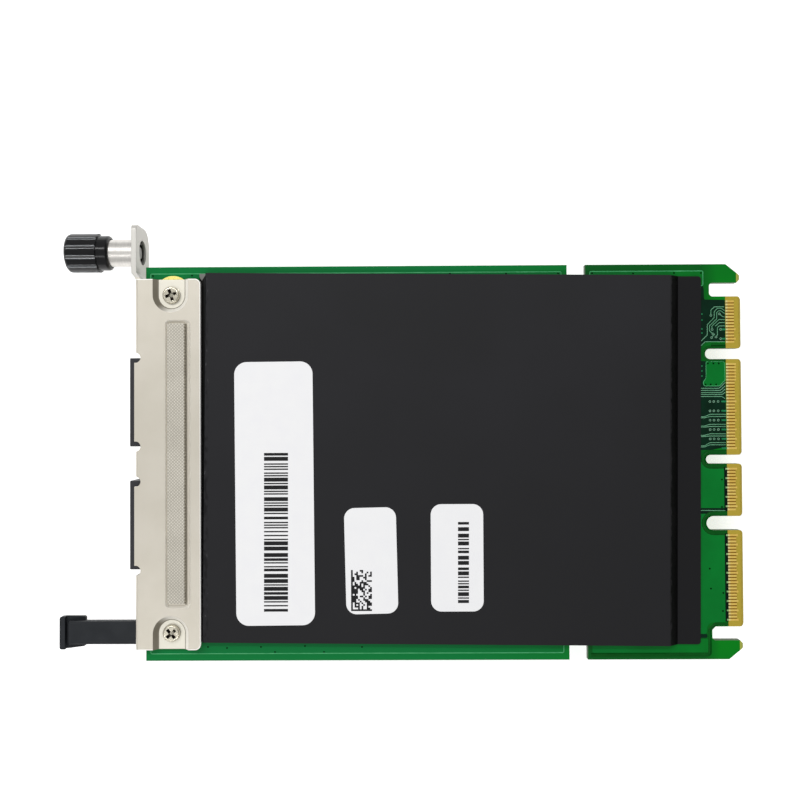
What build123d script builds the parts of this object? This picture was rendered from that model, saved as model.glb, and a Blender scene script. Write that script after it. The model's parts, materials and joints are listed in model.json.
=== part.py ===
from build123d import *
import os

# Small-form-factor mezzanine network card with two modular jacks, lying with its film up.
# X runs from the faceplate to the edge connector, Y across the board towards the thumbscrew, Z up.
# Each piece is made with X = 0 at the board's front edge, Y = 0 on its centre line and Z = 0 on the
# surface that the card lies on, and is then moved to the origin under the middle of the whole card.

# Circuit board
board_length = 115.0
board_width = 76.0
board_thickness = 1.57
component_height = 11.5
copper_thickness = 0.05
latch_notch_tip_gap = 31.75
latch_notch_width = 3.55
latch_notch_depth = 3.0

# Edge connector: sections of contacts between key slots, from the thumbscrew side
contact_counts = (14, 28, 14, 28)
long_contacts = (range(9, 14, 3), (*range(6), *range(12, 28, 3)), range(0, 14, 3), range(0, 28, 3))
contact_pitch = 0.6
contact_width = 0.38
contact_length = 1.6
contact_length_long = 1.9
contact_start = 2.95
section_lead = 0.98
section_tail = 1.28
key_slot_widths = (2.05, 1.7, 2.7)
key_slot_depth = 7.0
guide_notch_width = 2.65
guide_notch_depth = 6.1
guide_notch_corner = 0.7
tip_corner = 0.75
tip_bevel_length = 0.55
tip_bevel_depth = 0.35
wing_setback = 0.2
wing_chamfer_length = 2.7
wing_chamfer_width = 2.2
wing_inner_chamfer = 0.6

# Faceplate bracket, folded from one sheet
sheet_thickness = 1.0
board_gap = 0.5
bend_radius = 0.2
bend_outer_radius = 0.6
flange_width = 70.9
flange_reach = 11.0
flange_corner = 1.1
dimple_depth = 1.1
dimple_wall_run = 0.9
dimple_floor_radius = 2.5
pocket_x = 6.65
pocket_width = 4.8
pocket_end_gap = 4.9
pocket_depth = 0.7
pocket_wall_run = 0.35
pocket_corner = 0.8
port_clearance = 0.9
port_sill = 1.0
relief_radius = 0.95
tongue_overhang = 0.2
vent_radius = 1.2
vent_pitch = 3.4
vent_rows = 3
vent_low_z = 3.4
vent_columns = (24.4, 27.8, 31.2, 0.0, -24.4, -27.8)
ear_reach = 8.05
ear_depth = 9.0
ear_jog = 0.8
ear_jog_start = 0.2
ear_jog_run = 0.95
ear_jog_ease = 0.06
ear_jog_round = 0.5
ear_seat_gap = 0.05
ear_far_corner = 3.2
ear_near_corner = 1.0

# Gasket strip in the flange's pocket
gasket_width = 3.3
gasket_thickness = 1.0
gasket_side_gap = 0.05
gasket_end_gap = 0.3
gasket_tail_gap = 0.55
gasket_edge_round = 0.12

# Bracket screws and the board nuts that take them
screw_x = 5.25
screw_spacing = 64.8
screw_turns = (18.0, 42.0)
screw_radius = 1.0
screw_hole_clearance = 0.15
screw_head_radius = 1.65
screw_head_height = 0.85
screw_head_round = 0.35
recess_span = 2.2
recess_width = 0.6
recess_depth = 0.6
nut_radius = 2.2
nut_height = 1.9
ground_pad_radius = 3.5
ground_pad_shift = 0.4

# Thumbscrew: hollow knob that slides over a ferrule in the ear
thumb_overhang = 3.2
knob_radius = 3.8
knob_length = 6.2
knob_end_round = 0.9
knob_end_wall = 1.6
collar_radius = 3.4
collar_length = 2.25
collar_round = 0.55
flute_count = 12
flute_width = 0.55
flute_depth = 0.3
flute_turn = -9.5
knob_travel = 4.4
travel_gap = 0.7
press_gap = 0.2
ferrule_radius = 2.65
ferrule_shank_radius = 2.4
ferrule_shank_recess = 0.4
knob_clearance = 0.15
spring_pocket_radius = 2.05
spring_pocket_depth = 2.5
ferrule_web = 1.2
neck_radius = 1.0
neck_clearance = 0.15
stop_gap = 0.2
thread_radius = 1.5
thread_clearance = 0.2
thread_tip_chamfer = 0.4
tip_recess = 0.45
anchor_head_radius = 1.6
anchor_head_length = 1.0
spring_wire_radius = 0.2
spring_wire_sides = 6
spring_turns = 5
spring_seat_gap = 0.05

# Pull tab
tab_reach = 16.1
tab_strap_width = 4.5
tab_strap_thickness = 2.2
tab_top_z = 10.8
tab_end_gap = 0.05
tab_edge_round = 0.4
tab_lip = 1.05
tab_groove = 0.7
tab_groove_depth = 1.1
tab_grip_length = 3.45
tab_grip_width = 6.35
tab_grip_taper = 0.25
tab_grip_drop = 1.9
tab_grip_thickness = 0.9
tab_lip_height = 1.3
tab_anchor_length = 1.3
tab_anchor_margin = 0.5
tab_shoulder = 0.8

# Modular jacks, sunk into cut-outs at the board's front edge
port_pitch = 23.7
jack_width = 17.1
jack_height = 11.9
jack_length = 27.0
jack_overhang = 3.0
jack_rise = 0.4
jack_sunk_length = 16.8
jack_cutout_clearance = 0.25
shield_thickness = 0.3
bezel_length = 2.1
bezel_edge_round = 0.3
socket_width = 11.8
socket_height = 6.8
socket_depth = 13.0
socket_floor = 2.85
latch_slot_width = 6.2
latch_slot_height = 1.5
wire_count = 8
wire_pitch = 1.02
wire_width = 0.45
wire_thickness = 0.35
wire_set_back = 3.6
wire_run = 8.0
wire_root = 0.5
wire_drop = 2.2
pipe_width = 3.2
pipe_height = 1.5
pipe_length = 8.0
pipe_inset = 0.75

# Insulating film: a formed sheet stuck down a little askew
film_thickness = 0.25
film_width = 70.7
film_rise = 1.88
film_flange_gap = 0.75
film_riser_run = 0.4
film_foot = 1.2
film_tip_gap = 8.05
film_fold_run = 1.95
film_landing = 4.45
film_skew = -0.6
film_shift = 0.75
film_corner = 0.6

# Labels on the film: node, centre x, centre y, width, length, corner radius, turn in degrees
label_thickness = 0.12
labels = (
    ("label_large", 25.1, -5.7, 15.0, 50.3, 2.4, 0.4),
    ("label_left", 43.5, -18.6, 9.9, 20.2, 2.0, 1.2),
    ("label_right", 59.9, -18.1, 10.0, 20.4, 2.0, 0.0),
)

# Controller chip, thermal pad and heatsink
sink_set_back = 12.5
sink_length = 46.0
sink_width = 48.0
sink_base = 2.5
fin_thickness = 1.0
fin_pitch = 3.2
sink_post_radius = 2.3
sink_post_inset = 3.6
sink_screw_head_radius = 1.9
sink_screw_head_height = 0.9
package_side = 21.0
package_height = 1.1
die_length = 11.0
die_width = 9.5
die_height = 0.6
thermal_pad_margin = 1.5
thermal_pad_thickness = 0.3

# Power and control pieces on the primary face. Rows run along the heatsink's two sides, at places
# along X from its middle; the rest stand between it and the tongue, at (distance from the tip, y).
row_gap = 1.0
inductor_side = 6.6
inductor_height = 2.8
inductor_corner = 1.0
inductor_terminal = 0.4
inductor_row = (-17.0, -8.6, -0.2)
inductor_tip_gap = 24.5
power_stage_length = 6.0
power_stage_width = 5.0
power_stage_height = 0.9
power_stage_row = (8.0, 15.4)
power_stage_tip_gap = 17.0
polymer_length = 7.3
polymer_width = 4.3
polymer_height = 1.9
polymer_taper = 0.35
polymer_row = (-1.0, 9.0)
polymer_spots = ((26.0, 9.0), (26.0, 3.0), (26.0, -3.0))
control_chip_height = 0.85
control_chips = ((18.0, 12.0, 5.0), (18.0, -8.0, 5.0), (24.0, -15.0, 4.0))
flash_row = -12.0
flash_length = 4.9
flash_width = 3.9
flash_height = 1.5
flash_standoff = 0.1
flash_lead_count = 4
flash_lead_pitch = 1.27
flash_lead_width = 0.42
flash_lead_reach = 1.05
flash_lead_thickness = 0.22
crystal_row = -21.0
crystal_length = 3.2
crystal_width = 2.5
crystal_base = 0.3
crystal_height = 0.75
crystal_lid_inset = 0.15

# Chip capacitors: body sizes, and rings and rows of them
large_cap = (1.6, 0.8, 0.8)
small_cap = (1.0, 0.5, 0.5)
ring_gap = 1.6
ring_caps_per_side = 8
ring_cap_pitch = 2.2
coupling_caps = 12
coupling_cap_pitch = 1.35
coupling_cap_tip_gap = 11.5
decoupling_grid = 5
decoupling_pitch = 2.0

# Levels and places that follow from the sizes above
pocket_length = screw_spacing - 2 * pocket_end_gap
primary_z = component_height
secondary_z = primary_z + board_thickness
pad_z = secondary_z + copper_thickness
flange_low_z = pad_z + dimple_depth
flange_top_z = flange_low_z + sheet_thickness
plate_inner_x = -board_gap
plate_outer_x = plate_inner_x - sheet_thickness
flange_half = flange_width / 2
board_half = board_width / 2
ear_outer_x = plate_outer_x - ear_jog
ear_inner_x = plate_inner_x - ear_jog
ear_end_y = board_half + ear_reach
thumb_y = board_half + thumb_overhang
thumb_z = flange_top_z - ear_depth / 2
mouth_x = ear_outer_x - travel_gap - knob_travel
shoulder_x = mouth_x - collar_length
knob_end_x = shoulder_x - knob_length
knob_floor_x = knob_end_x + knob_end_wall
knob_bore_radius = ferrule_radius + knob_clearance
ferrule_end_x = knob_floor_x + knob_travel + press_gap
spring_seat_x = ferrule_end_x + spring_pocket_depth
web_face_x = spring_seat_x + ferrule_web
ferrule_tip_x = ear_inner_x - ferrule_shank_recess
tab_end_x = plate_outer_x - tab_reach
tab_y = -flange_half + tab_end_gap + tab_strap_width / 2
jack_top_z = secondary_z + jack_rise
jack_low_z = jack_top_z - jack_height
jack_front_x = -jack_overhang
jack_back_x = jack_front_x + jack_length
jack_half = jack_width / 2
bezel_back_x = jack_front_x + bezel_length
socket_low_z = jack_low_z + socket_floor
socket_top_z = socket_low_z + socket_height
film_top_z = secondary_z + film_rise
film_start = flange_reach + film_flange_gap
film_end_x = board_length - film_tip_gap
film_fold_end_x = film_end_x - film_landing
film_fold_x = film_fold_end_x - film_fold_run
sink_x = (jack_back_x + board_length) / 2 - sink_set_back
power_row_y = sink_width / 2 + row_gap + inductor_side / 2
control_row_y = -sink_width / 2 - row_gap - flash_width / 2 - flash_lead_reach
sink_face_z = primary_z - package_height - die_height - thermal_pad_thickness
port_centres = (port_pitch / 2, -port_pitch / 2)
screw_centres = (screw_spacing / 2, -screw_spacing / 2)
screw_hole_radius = screw_radius + screw_hole_clearance
origin_x = (tab_end_x + board_length) / 2
origin_y = (ear_end_y - board_half) / 2
past = 1.0


def slab(x_low, x_high, y_low, y_high, z_low, z_high):
    """Rectangular block between two corners."""
    centre = Pos((x_low + x_high) / 2, (y_low + y_high) / 2, (z_low + z_high) / 2)
    return centre * Box(x_high - x_low, y_high - y_low, z_high - z_low)


def side_profile(points, width, y=0.0):
    """Outline of (x, z) points made solid along Y, centred on y."""
    outline = Plane.XZ * Polygon(*points, align=None)
    return Pos(0, y, 0) * extrude(outline, width / 2, both=True)


def upright(outline, z_low, z_high):
    """Flat outline in plan, made solid between two heights."""
    return Pos(0, 0, z_low) * extrude(outline, z_high - z_low, dir=(0, 0, 1))


def turned(outline):
    """Outline of axial place and radius, turned about the thumbscrew's axis."""
    return Pos(0, thumb_y, thumb_z) * revolve(outline, Axis.X)


def section_spans():
    """Upper and lower edge of each contact section, from the thumbscrew side."""
    widths = [section_lead + (count - 1) * contact_pitch + section_tail for count in contact_counts]
    upper = (sum(widths) + sum(key_slot_widths)) / 2
    spans = []
    for width, slot in zip(widths, (*key_slot_widths, 0.0)):
        spans.append((upper, upper - width))
        upper -= width + slot
    return spans


def circuit_board():
    """Laminate with its tongue, guide wings, latch notches, jack cut-outs and screw holes."""
    spans = section_spans()
    tongue_half = spans[0][0]
    outline = Pos(board_length / 2, 0) * Rectangle(board_length, board_width)
    for above, below in zip(spans, spans[1:]):
        radius = (above[1] - below[0]) / 2
        middle = (above[1] + below[0]) / 2
        round_x = board_length - key_slot_depth + radius
        outline -= Pos(round_x, middle) * Circle(radius)
        slot = Rectangle(key_slot_depth, 2 * radius, align=(Align.MIN, Align.CENTER))
        outline -= Pos(round_x, middle) * slot
    for side in (1, -1):
        notch_length = guide_notch_depth + 2 * guide_notch_corner
        notch = RectangleRounded(notch_length, guide_notch_width, guide_notch_corner)
        notch_x = board_length - guide_notch_depth + notch_length / 2
        outline -= Pos(notch_x, side * (tongue_half + guide_notch_width / 2)) * notch
        wing_x = board_length - wing_setback
        wing_inner = tongue_half + guide_notch_width
        outline -= Polygon(
            (wing_x - wing_inner_chamfer, side * wing_inner),
            (wing_x, side * (wing_inner + wing_inner_chamfer)),
            (wing_x, side * (board_half - wing_chamfer_width)),
            (wing_x - wing_chamfer_length, side * board_half),
            (wing_x - wing_chamfer_length, side * (board_half + past)),
            (board_length + past, side * (board_half + past)),
            (board_length + past, side * (wing_inner - wing_inner_chamfer)),
            align=None,
        )
        latch = Rectangle(latch_notch_width, 2 * latch_notch_depth)
        outline -= Pos(board_length - latch_notch_tip_gap, side * board_half) * latch
    outline = fillet(outline.vertices().group_by(Axis.X)[-1], tip_corner)
    cutout_length = jack_sunk_length + jack_cutout_clearance
    for y in port_centres:
        cutout = Rectangle(cutout_length, jack_width + 2 * jack_cutout_clearance)
        outline -= Pos(cutout_length / 2, y) * cutout
    for y in screw_centres:
        outline -= Pos(screw_x, y) * Circle(screw_hole_radius)
    for x, y in sink_posts():
        outline -= Pos(x, y) * Circle(screw_hole_radius)
    board = upright(outline, primary_z, secondary_z)
    bevel_x = board_length - tip_bevel_length
    for face_z, way in ((secondary_z, 1), (primary_z, -1)):
        corner = ((bevel_x, face_z), (board_length, face_z - way * tip_bevel_depth),
                  (board_length + past, face_z - way * tip_bevel_depth),
                  (board_length + past, face_z + way * past), (bevel_x, face_z + way * past))
        board -= side_profile(corner, board_width + 2 * past)
    return board


def edge_contacts(z_low):
    """Contact pads of all sections on one face of the tongue."""
    pads = []
    for (upper, _), count, long_places in zip(section_spans(), contact_counts, long_contacts):
        for place in range(count):
            length = contact_length_long if place in long_places else contact_length
            y = upper - section_lead - place * contact_pitch
            x = board_length - contact_start
            pads.append(slab(x, x + length, y - contact_width / 2, y + contact_width / 2,
                             z_low, z_low + copper_thickness))
    return Compound(pads)


def ground_pads():
    """Bare copper rings that the bracket's dimples bear on."""
    ring = Pos(0, ground_pad_shift) * Circle(ground_pad_radius) - Circle(screw_hole_radius)
    return Compound([upright(Pos(screw_x, y) * ring, secondary_z, pad_z) for y in screw_centres])


def dimple_form(radius_low, radius_high, z_low, z_high, side):
    """Tapered round form about a bracket screw, run out to the flange's end."""
    run = flange_half - screw_spacing / 2 + past
    cone = Pos(screw_x, 0, (z_low + z_high) / 2) * Cone(radius_low, radius_high, z_high - z_low)
    channel = Plane.XZ * Polygon((screw_x - radius_low, z_low), (screw_x + radius_low, z_low),
                                 (screw_x + radius_high, z_high), (screw_x - radius_high, z_high),
                                 align=None)
    form = cone + extrude(channel, -side * run)
    return Pos(0, side * screw_spacing / 2, 0) * form


def pocket_form(margin, z_low, z_high):
    """Rectangular form with sloped walls along the gasket's pocket."""
    low_width = pocket_width - 2 * pocket_wall_run + margin
    low_length = pocket_length - 2 * pocket_wall_run + margin
    low = RectangleRounded(low_width, low_length, pocket_corner - pocket_wall_run + margin / 2)
    high = RectangleRounded(pocket_width + margin, pocket_length + margin, pocket_corner + margin / 2)
    return loft([Pos(pocket_x, 0, z_low) * low, Pos(pocket_x, 0, z_high) * high])


def bracket_fold():
    """Faceplate and flange as one bent sheet, with rounded corners on the flange."""
    corner = ((plate_outer_x, 0), (plate_inner_x, 0), (plate_inner_x, flange_low_z),
              (flange_reach, flange_low_z), (flange_reach, flange_top_z), (plate_outer_x, flange_top_z))
    fold = side_profile(corner, flange_width)
    along = fold.edges().filter_by(Axis.Y)
    outer = along.sort_by_distance((plate_outer_x, 0, flange_top_z))[0]
    fold = fillet(outer, bend_outer_radius)
    along = fold.edges().filter_by(Axis.Y)
    inner = along.sort_by_distance((plate_inner_x, 0, flange_low_z))[0]
    fold = fillet(inner, bend_radius)
    return fillet(fold.edges().filter_by(Axis.Z).group_by(Axis.X)[-1], flange_corner)


def bracket_ear():
    """Jogged ear that carries the thumbscrew."""
    start_y = flange_half + ear_jog_start
    stop_y = start_y + ear_jog_run
    seat_y = board_half + ear_seat_gap
    outline = Polygon((plate_outer_x, flange_half), (plate_inner_x, flange_half), (plate_inner_x, start_y),
                      (ear_inner_x + ear_jog_ease, stop_y), (ear_inner_x, seat_y),
                      (ear_inner_x, ear_end_y), (ear_outer_x, ear_end_y), (ear_outer_x, seat_y),
                      (ear_outer_x + ear_jog_ease, stop_y), (plate_outer_x, start_y), align=None)
    margin = ear_jog_start / 2
    bends = outline.vertices().filter_by_position(Axis.Y, start_y - margin, stop_y + margin)
    outline = fillet(bends, ear_jog_round)
    far_z = flange_top_z - ear_depth
    ear = upright(outline, far_z, flange_top_z)
    for corner_z, radius in ((flange_top_z, ear_near_corner), (far_z, ear_far_corner)):
        through = ear.edges().filter_by(Axis.X)
        ear = fillet(through.sort_by_distance((ear_inner_x, ear_end_y, corner_z))[0], radius)
    hole = Pos(0, thumb_y, thumb_z) * Rot(0, 90, 0) * Cylinder(ferrule_shank_radius, 4 * sheet_thickness)
    return ear - Pos((ear_inner_x + ear_outer_x) / 2, 0, 0) * hole


def cut_port(bracket, y):
    """Port opening through the fold, with a flat tongue between two round reliefs."""
    half = jack_half + port_clearance
    bracket -= slab(plate_outer_x - past, 0, y - half, y + half, port_sill, flange_low_z)
    tongue_half = half - 2 * relief_radius
    bracket += slab(plate_outer_x - tongue_overhang, bend_radius, y - tongue_half, y + tongue_half,
                    flange_low_z, flange_top_z)
    for side in (1, -1):
        middle = y + side * (half - relief_radius)
        round_x = plate_inner_x - relief_radius
        relief = Pos(round_x, middle) * Circle(relief_radius)
        relief += Pos(round_x - past, middle) * Rectangle(2 * past, 2 * relief_radius)
        bracket -= upright(relief, flange_low_z - past, flange_top_z + past)
    return bracket


def faceplate_bracket():
    """Folded sheet with port openings, vents, screw dimples, gasket pocket and ear."""
    slope = dimple_wall_run / dimple_depth
    skin = sheet_thickness * ((1 + slope ** 2) ** 0.5 - slope)
    floor_z = pad_z + sheet_thickness
    bracket = bracket_fold()
    for side in (1, -1):
        bulge_radius = dimple_floor_radius + skin
        bulge = dimple_form(bulge_radius, bulge_radius + dimple_wall_run, pad_z, flange_low_z, side)
        bracket += bulge & slab(-past, flange_reach, -flange_half, flange_half, pad_z, flange_low_z)
    bracket += pocket_form(2 * skin, flange_low_z - pocket_depth, flange_low_z)
    for side in (1, -1):
        recess_radius = dimple_floor_radius + dimple_wall_run
        bracket -= dimple_form(dimple_floor_radius, recess_radius, floor_z, flange_top_z, side)
        hole = Cylinder(screw_hole_radius, 4 * sheet_thickness)
        bracket -= Pos(screw_x, side * screw_spacing / 2, floor_z) * hole
    bracket -= pocket_form(0, flange_top_z - pocket_depth, flange_top_z)
    for y in port_centres:
        bracket = cut_port(bracket, y)
    for y in vent_columns:
        for row in range(vent_rows):
            vent = Rot(0, 90, 0) * Cylinder(vent_radius, 4 * sheet_thickness)
            bracket -= Pos(plate_inner_x, y, vent_low_z + row * vent_pitch) * vent
    slot = slab(plate_outer_x - past, 0, -flange_half - past, tab_y + tab_strap_width / 2,
                tab_top_z - tab_strap_thickness, tab_top_z)
    return bracket - slot + bracket_ear()


def gasket_strip():
    """Fabric-covered foam strip laid against one side and one end of the pocket."""
    x_low = pocket_x - pocket_width / 2 + pocket_wall_run + gasket_side_gap
    floor_half = pocket_length / 2 - pocket_wall_run
    z_low = flange_top_z - pocket_depth
    strip = slab(x_low, x_low + gasket_width, gasket_tail_gap - floor_half, floor_half - gasket_end_gap,
                 z_low, z_low + gasket_thickness)
    return fillet(strip.edges().filter_by(Axis.Y).group_by(Axis.Z)[-1], gasket_edge_round)


def cross_recess(top_z):
    """Cross-shaped driver recess, centred on the Z axis."""
    bar = Rectangle(recess_span, recess_width) + Rectangle(recess_width, recess_span)
    return upright(bar, top_z - recess_depth, top_z + past)


def headed_screw(head_radius, head_height, seat_z, end_z, soften=fillet):
    """Screw on the Z axis, its head standing on seat_z with a rounded or chamfered rim."""
    head = Pos(0, 0, seat_z + head_height / 2) * Cylinder(head_radius, head_height)
    head = soften(head.edges().group_by(Axis.Z)[-1], screw_head_round)
    shank = Pos(0, 0, (seat_z + end_z) / 2) * Cylinder(screw_radius, seat_z - end_z)
    return head + shank - cross_recess(seat_z + head_height)


def bracket_screws():
    """The two screws that hold the bracket to the board."""
    seat_z = pad_z + sheet_thickness
    screw = headed_screw(screw_head_radius, screw_head_height, seat_z, primary_z - nut_height)
    return Compound([Pos(screw_x, y, 0) * Rot(0, 0, turn) * screw
                     for y, turn in zip(screw_centres, screw_turns)])


def bracket_nuts():
    """Board nuts soldered to the primary face."""
    ring = Circle(nut_radius) - Circle(screw_radius)
    return Compound([upright(Pos(screw_x, y) * ring, primary_z - nut_height, primary_z)
                     for y in screw_centres])


def thumbscrew_knob():
    """Fluted hollow knob with a smooth collar at its mouth."""
    outline = Polygon((knob_end_x, 0), (knob_end_x, knob_radius), (shoulder_x, knob_radius),
                      (shoulder_x, collar_radius), (mouth_x, collar_radius), (mouth_x, knob_bore_radius),
                      (knob_floor_x, knob_bore_radius), (knob_floor_x, anchor_head_radius),
                      (knob_floor_x - anchor_head_length, anchor_head_radius),
                      (knob_floor_x - anchor_head_length, 0), align=None)
    outline = fillet(outline.vertices().sort_by_distance((knob_end_x, knob_radius))[0], knob_end_round)
    outline = fillet(outline.vertices().sort_by_distance((mouth_x, collar_radius))[0], collar_round)
    knob = turned(outline)
    for place in range(flute_count):
        flute = slab(knob_end_x - past, shoulder_x, -flute_width / 2, flute_width / 2,
                     knob_radius - flute_depth, knob_radius + flute_depth)
        turn = flute_turn + place * 360 / flute_count
        knob -= Pos(0, thumb_y, thumb_z) * Rot(turn, 0, 0) * flute
    return knob


def thumbscrew_screw():
    """Captive screw: anchor head in the knob, plain neck and threaded end."""
    head_x = knob_floor_x - anchor_head_length
    thread_x = web_face_x + stop_gap
    tip_x = ear_inner_x - tip_recess
    return turned(Polygon((head_x, 0), (head_x, anchor_head_radius), (knob_floor_x, anchor_head_radius),
                          (knob_floor_x, neck_radius), (thread_x, neck_radius), (thread_x, thread_radius),
                          (tip_x - thread_tip_chamfer, thread_radius),
                          (tip_x, thread_radius - thread_tip_chamfer), (tip_x, 0), align=None))


def thumbscrew_ferrule():
    """Ferrule pressed into the ear, with a spring pocket and a web that keeps the screw."""
    bore = thread_radius + thread_clearance
    neck_bore = neck_radius + neck_clearance
    return turned(Polygon((ferrule_end_x, spring_pocket_radius), (ferrule_end_x, ferrule_radius),
                          (ear_outer_x, ferrule_radius), (ear_outer_x, ferrule_shank_radius),
                          (ferrule_tip_x, ferrule_shank_radius), (ferrule_tip_x, bore), (web_face_x, bore),
                          (web_face_x, neck_bore), (spring_seat_x, neck_bore),
                          (spring_seat_x, spring_pocket_radius), align=None))


def thumbscrew_spring():
    """Coil spring round the neck, from the ferrule's pocket to the knob's floor."""
    end_gap = spring_seat_gap + spring_wire_radius
    height = spring_seat_x - knob_floor_x - 2 * end_gap
    coil_radius = (neck_radius + spring_pocket_radius) / 2
    path = Helix(height / spring_turns, height, coil_radius)
    wire = Plane(origin=path @ 0, z_dir=path % 0) * RegularPolygon(spring_wire_radius, spring_wire_sides)
    coil = Rot(0, 90, 0) * sweep(wire, path)
    return Pos(knob_floor_x + end_gap, thumb_y, thumb_z) * coil


def pull_tab():
    """Moulded tab: strap through the faceplate's slot, sloped finger grip and raised end lip."""
    low_z = tab_top_z - tab_strap_thickness
    half = tab_strap_width / 2
    lip_x = tab_end_x + tab_lip
    strap_x = lip_x + tab_groove
    groove_z = tab_top_z - tab_groove_depth
    grip_top = tab_top_z - tab_grip_drop
    grip_low = grip_top - tab_grip_thickness
    grip_half = tab_grip_width / 2
    grip_end_x = lip_x + tab_grip_length
    narrow_half = grip_half - tab_grip_taper
    outline = Polygon((tab_end_x, -grip_half), (tab_end_x, grip_half), (lip_x, grip_half),
                      (grip_end_x, narrow_half), (grip_end_x, -narrow_half), (lip_x, -grip_half),
                      align=None)
    corners = outline.vertices().group_by(Axis.X)
    outline = fillet(corners[0] + corners[-1], tab_edge_round)
    side = ((tab_end_x, tab_top_z), (lip_x, tab_top_z), (lip_x, groove_z), (strap_x, groove_z),
            (grip_end_x, grip_top), (grip_end_x, grip_low), (tab_end_x, tab_top_z - tab_lip_height))
    grip = upright(outline, grip_low, tab_top_z) & side_profile(side, tab_grip_width)
    strap = slab(strap_x, plate_inner_x + tab_anchor_length, -half, half, low_z, tab_top_z)
    strap = fillet(strap.edges().filter_by(Axis.X), tab_edge_round)
    neck = slab(plate_outer_x, plate_inner_x, -half, half, low_z, tab_top_z)
    stop_low = low_z - tab_anchor_margin
    stop_high = tab_top_z + tab_anchor_margin
    anchor = slab(plate_inner_x, plate_inner_x + tab_anchor_length, -half, half, stop_low, stop_high)
    shoulder = slab(plate_outer_x - tab_shoulder, plate_outer_x, -half, half, stop_low, stop_high)
    return Pos(0, tab_y, 0) * (grip + strap + neck + anchor + shoulder)


def jack_profile(inset):
    """Side outline of a jack behind its bezel, drawn in by a wall all round but at the board."""
    step_x = jack_sunk_length - inset
    back_x = jack_back_x - inset
    return ((bezel_back_x, jack_low_z + inset), (back_x, jack_low_z + inset), (back_x, primary_z),
            (step_x, primary_z), (step_x, jack_top_z - inset), (bezel_back_x, jack_top_z - inset))


def pipe_places():
    """Y places of the two light pipes beside the latch slot."""
    spread = (latch_slot_width + jack_width) / 4
    return (spread, -spread)


def light_pipe(y):
    """One light pipe, from the bezel's face into the housing."""
    z_low = jack_low_z + pipe_inset
    return slab(jack_front_x, jack_front_x + pipe_length, y - pipe_width / 2, y + pipe_width / 2,
                z_low, z_low + pipe_height)


def jack_housing(y):
    """Moulded jack body with its front bezel, plug socket and latch slot."""
    bezel = slab(jack_front_x, bezel_back_x, -jack_half, jack_half, jack_low_z, jack_top_z)
    bezel = fillet(bezel.edges().filter_by(Axis.X), bezel_edge_round)
    body = bezel + side_profile(jack_profile(shield_thickness), jack_width - 2 * shield_thickness)
    back_x = jack_front_x + socket_depth
    body -= slab(jack_front_x - past, back_x, -socket_width / 2, socket_width / 2,
                 socket_low_z, socket_top_z)
    body -= slab(jack_front_x - past, back_x, -latch_slot_width / 2, latch_slot_width / 2,
                 socket_low_z - latch_slot_height, socket_low_z)
    for pipe_y in pipe_places():
        body -= light_pipe(pipe_y)
    return Pos(0, y, 0) * body


def jack_shield(y):
    """Folded metal shell round the housing, open at the bezel and at the board."""
    shell = side_profile(jack_profile(0), jack_width)
    inside = side_profile(jack_profile(shield_thickness), jack_width - 2 * shield_thickness)
    return Pos(0, y, 0) * (shell - inside)


def jack_wires(y):
    """Spring contact wires that slope down from the socket's ceiling."""
    root_x = jack_front_x + wire_set_back
    low_z = socket_top_z - wire_root
    end = (root_x + wire_run, low_z - wire_drop)
    profile = ((root_x, socket_top_z), (root_x, low_z), end, (end[0], end[1] + wire_thickness),
               (root_x + wire_thickness, low_z + wire_thickness), (root_x + wire_thickness, socket_top_z))
    first = y - (wire_count - 1) * wire_pitch / 2
    return Compound([side_profile(profile, wire_width, first + place * wire_pitch)
                     for place in range(wire_count)])


def jack_light_pipes(y):
    """Clear light pipes at the jack's two corners."""
    return Compound([Pos(0, y, 0) * light_pipe(pipe_y) for pipe_y in pipe_places()])


def insulator_sheet():
    """Formed film: foot on the jacks, raised face, sloped fold and landing strip on the board."""
    face_z = film_top_z - film_thickness / 2
    foot_z = jack_top_z + film_thickness / 2
    landing_z = secondary_z + film_thickness / 2
    riser_x = film_start - film_riser_run
    line = Polyline((riser_x - film_foot, foot_z), (riser_x, foot_z), (film_start, face_z),
                    (film_fold_x, face_z), (film_fold_end_x, landing_z), (film_end_x, landing_z))
    film = extrude(Plane.XZ * trace(line, film_thickness), film_width / 2, both=True)
    film = fillet(film.edges().filter_by(Axis.Z).group_by(Axis.X)[-1], film_corner)
    middle_x = (film_start + film_end_x) / 2
    return Pos(middle_x, film_shift, 0) * Rot(0, 0, film_skew) * Pos(-middle_x, 0, 0) * film


def blank_label(x, y, width, length, corner, turn):
    """Paper label with rounded corners, stuck to the film's face."""
    paper = upright(RectangleRounded(width, length, corner), film_top_z, film_top_z + label_thickness)
    return Pos(x, y, 0) * Rot(0, 0, turn) * paper


def sink_posts():
    """Centres of the heatsink's four screw posts."""
    reach_x = sink_length / 2 - sink_post_inset
    reach_y = sink_width / 2 - sink_post_inset
    return [(sink_x + x, y) for x in (-reach_x, reach_x) for y in (-reach_y, reach_y)]


def heatsink():
    """Extruded comb of fins along the air flow, with threaded posts that stand on the board."""
    base_low_z = sink_face_z - sink_base
    comb = slab(sink_x - sink_length / 2, sink_x + sink_length / 2, -sink_width / 2, sink_width / 2,
                base_low_z, sink_face_z)
    gaps = int((sink_width - fin_thickness) / fin_pitch)
    for fin in range(gaps + 1):
        y = (fin - gaps / 2) * fin_pitch
        comb += slab(sink_x - sink_length / 2, sink_x + sink_length / 2,
                     y - fin_thickness / 2, y + fin_thickness / 2, 0, base_low_z)
    for x, y in sink_posts():
        comb += upright(Pos(x, y) * Circle(sink_post_radius), sink_face_z, primary_z)
        comb -= upright(Pos(x, y) * Circle(screw_radius), sink_face_z - sink_base / 2, primary_z)
    return comb


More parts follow.
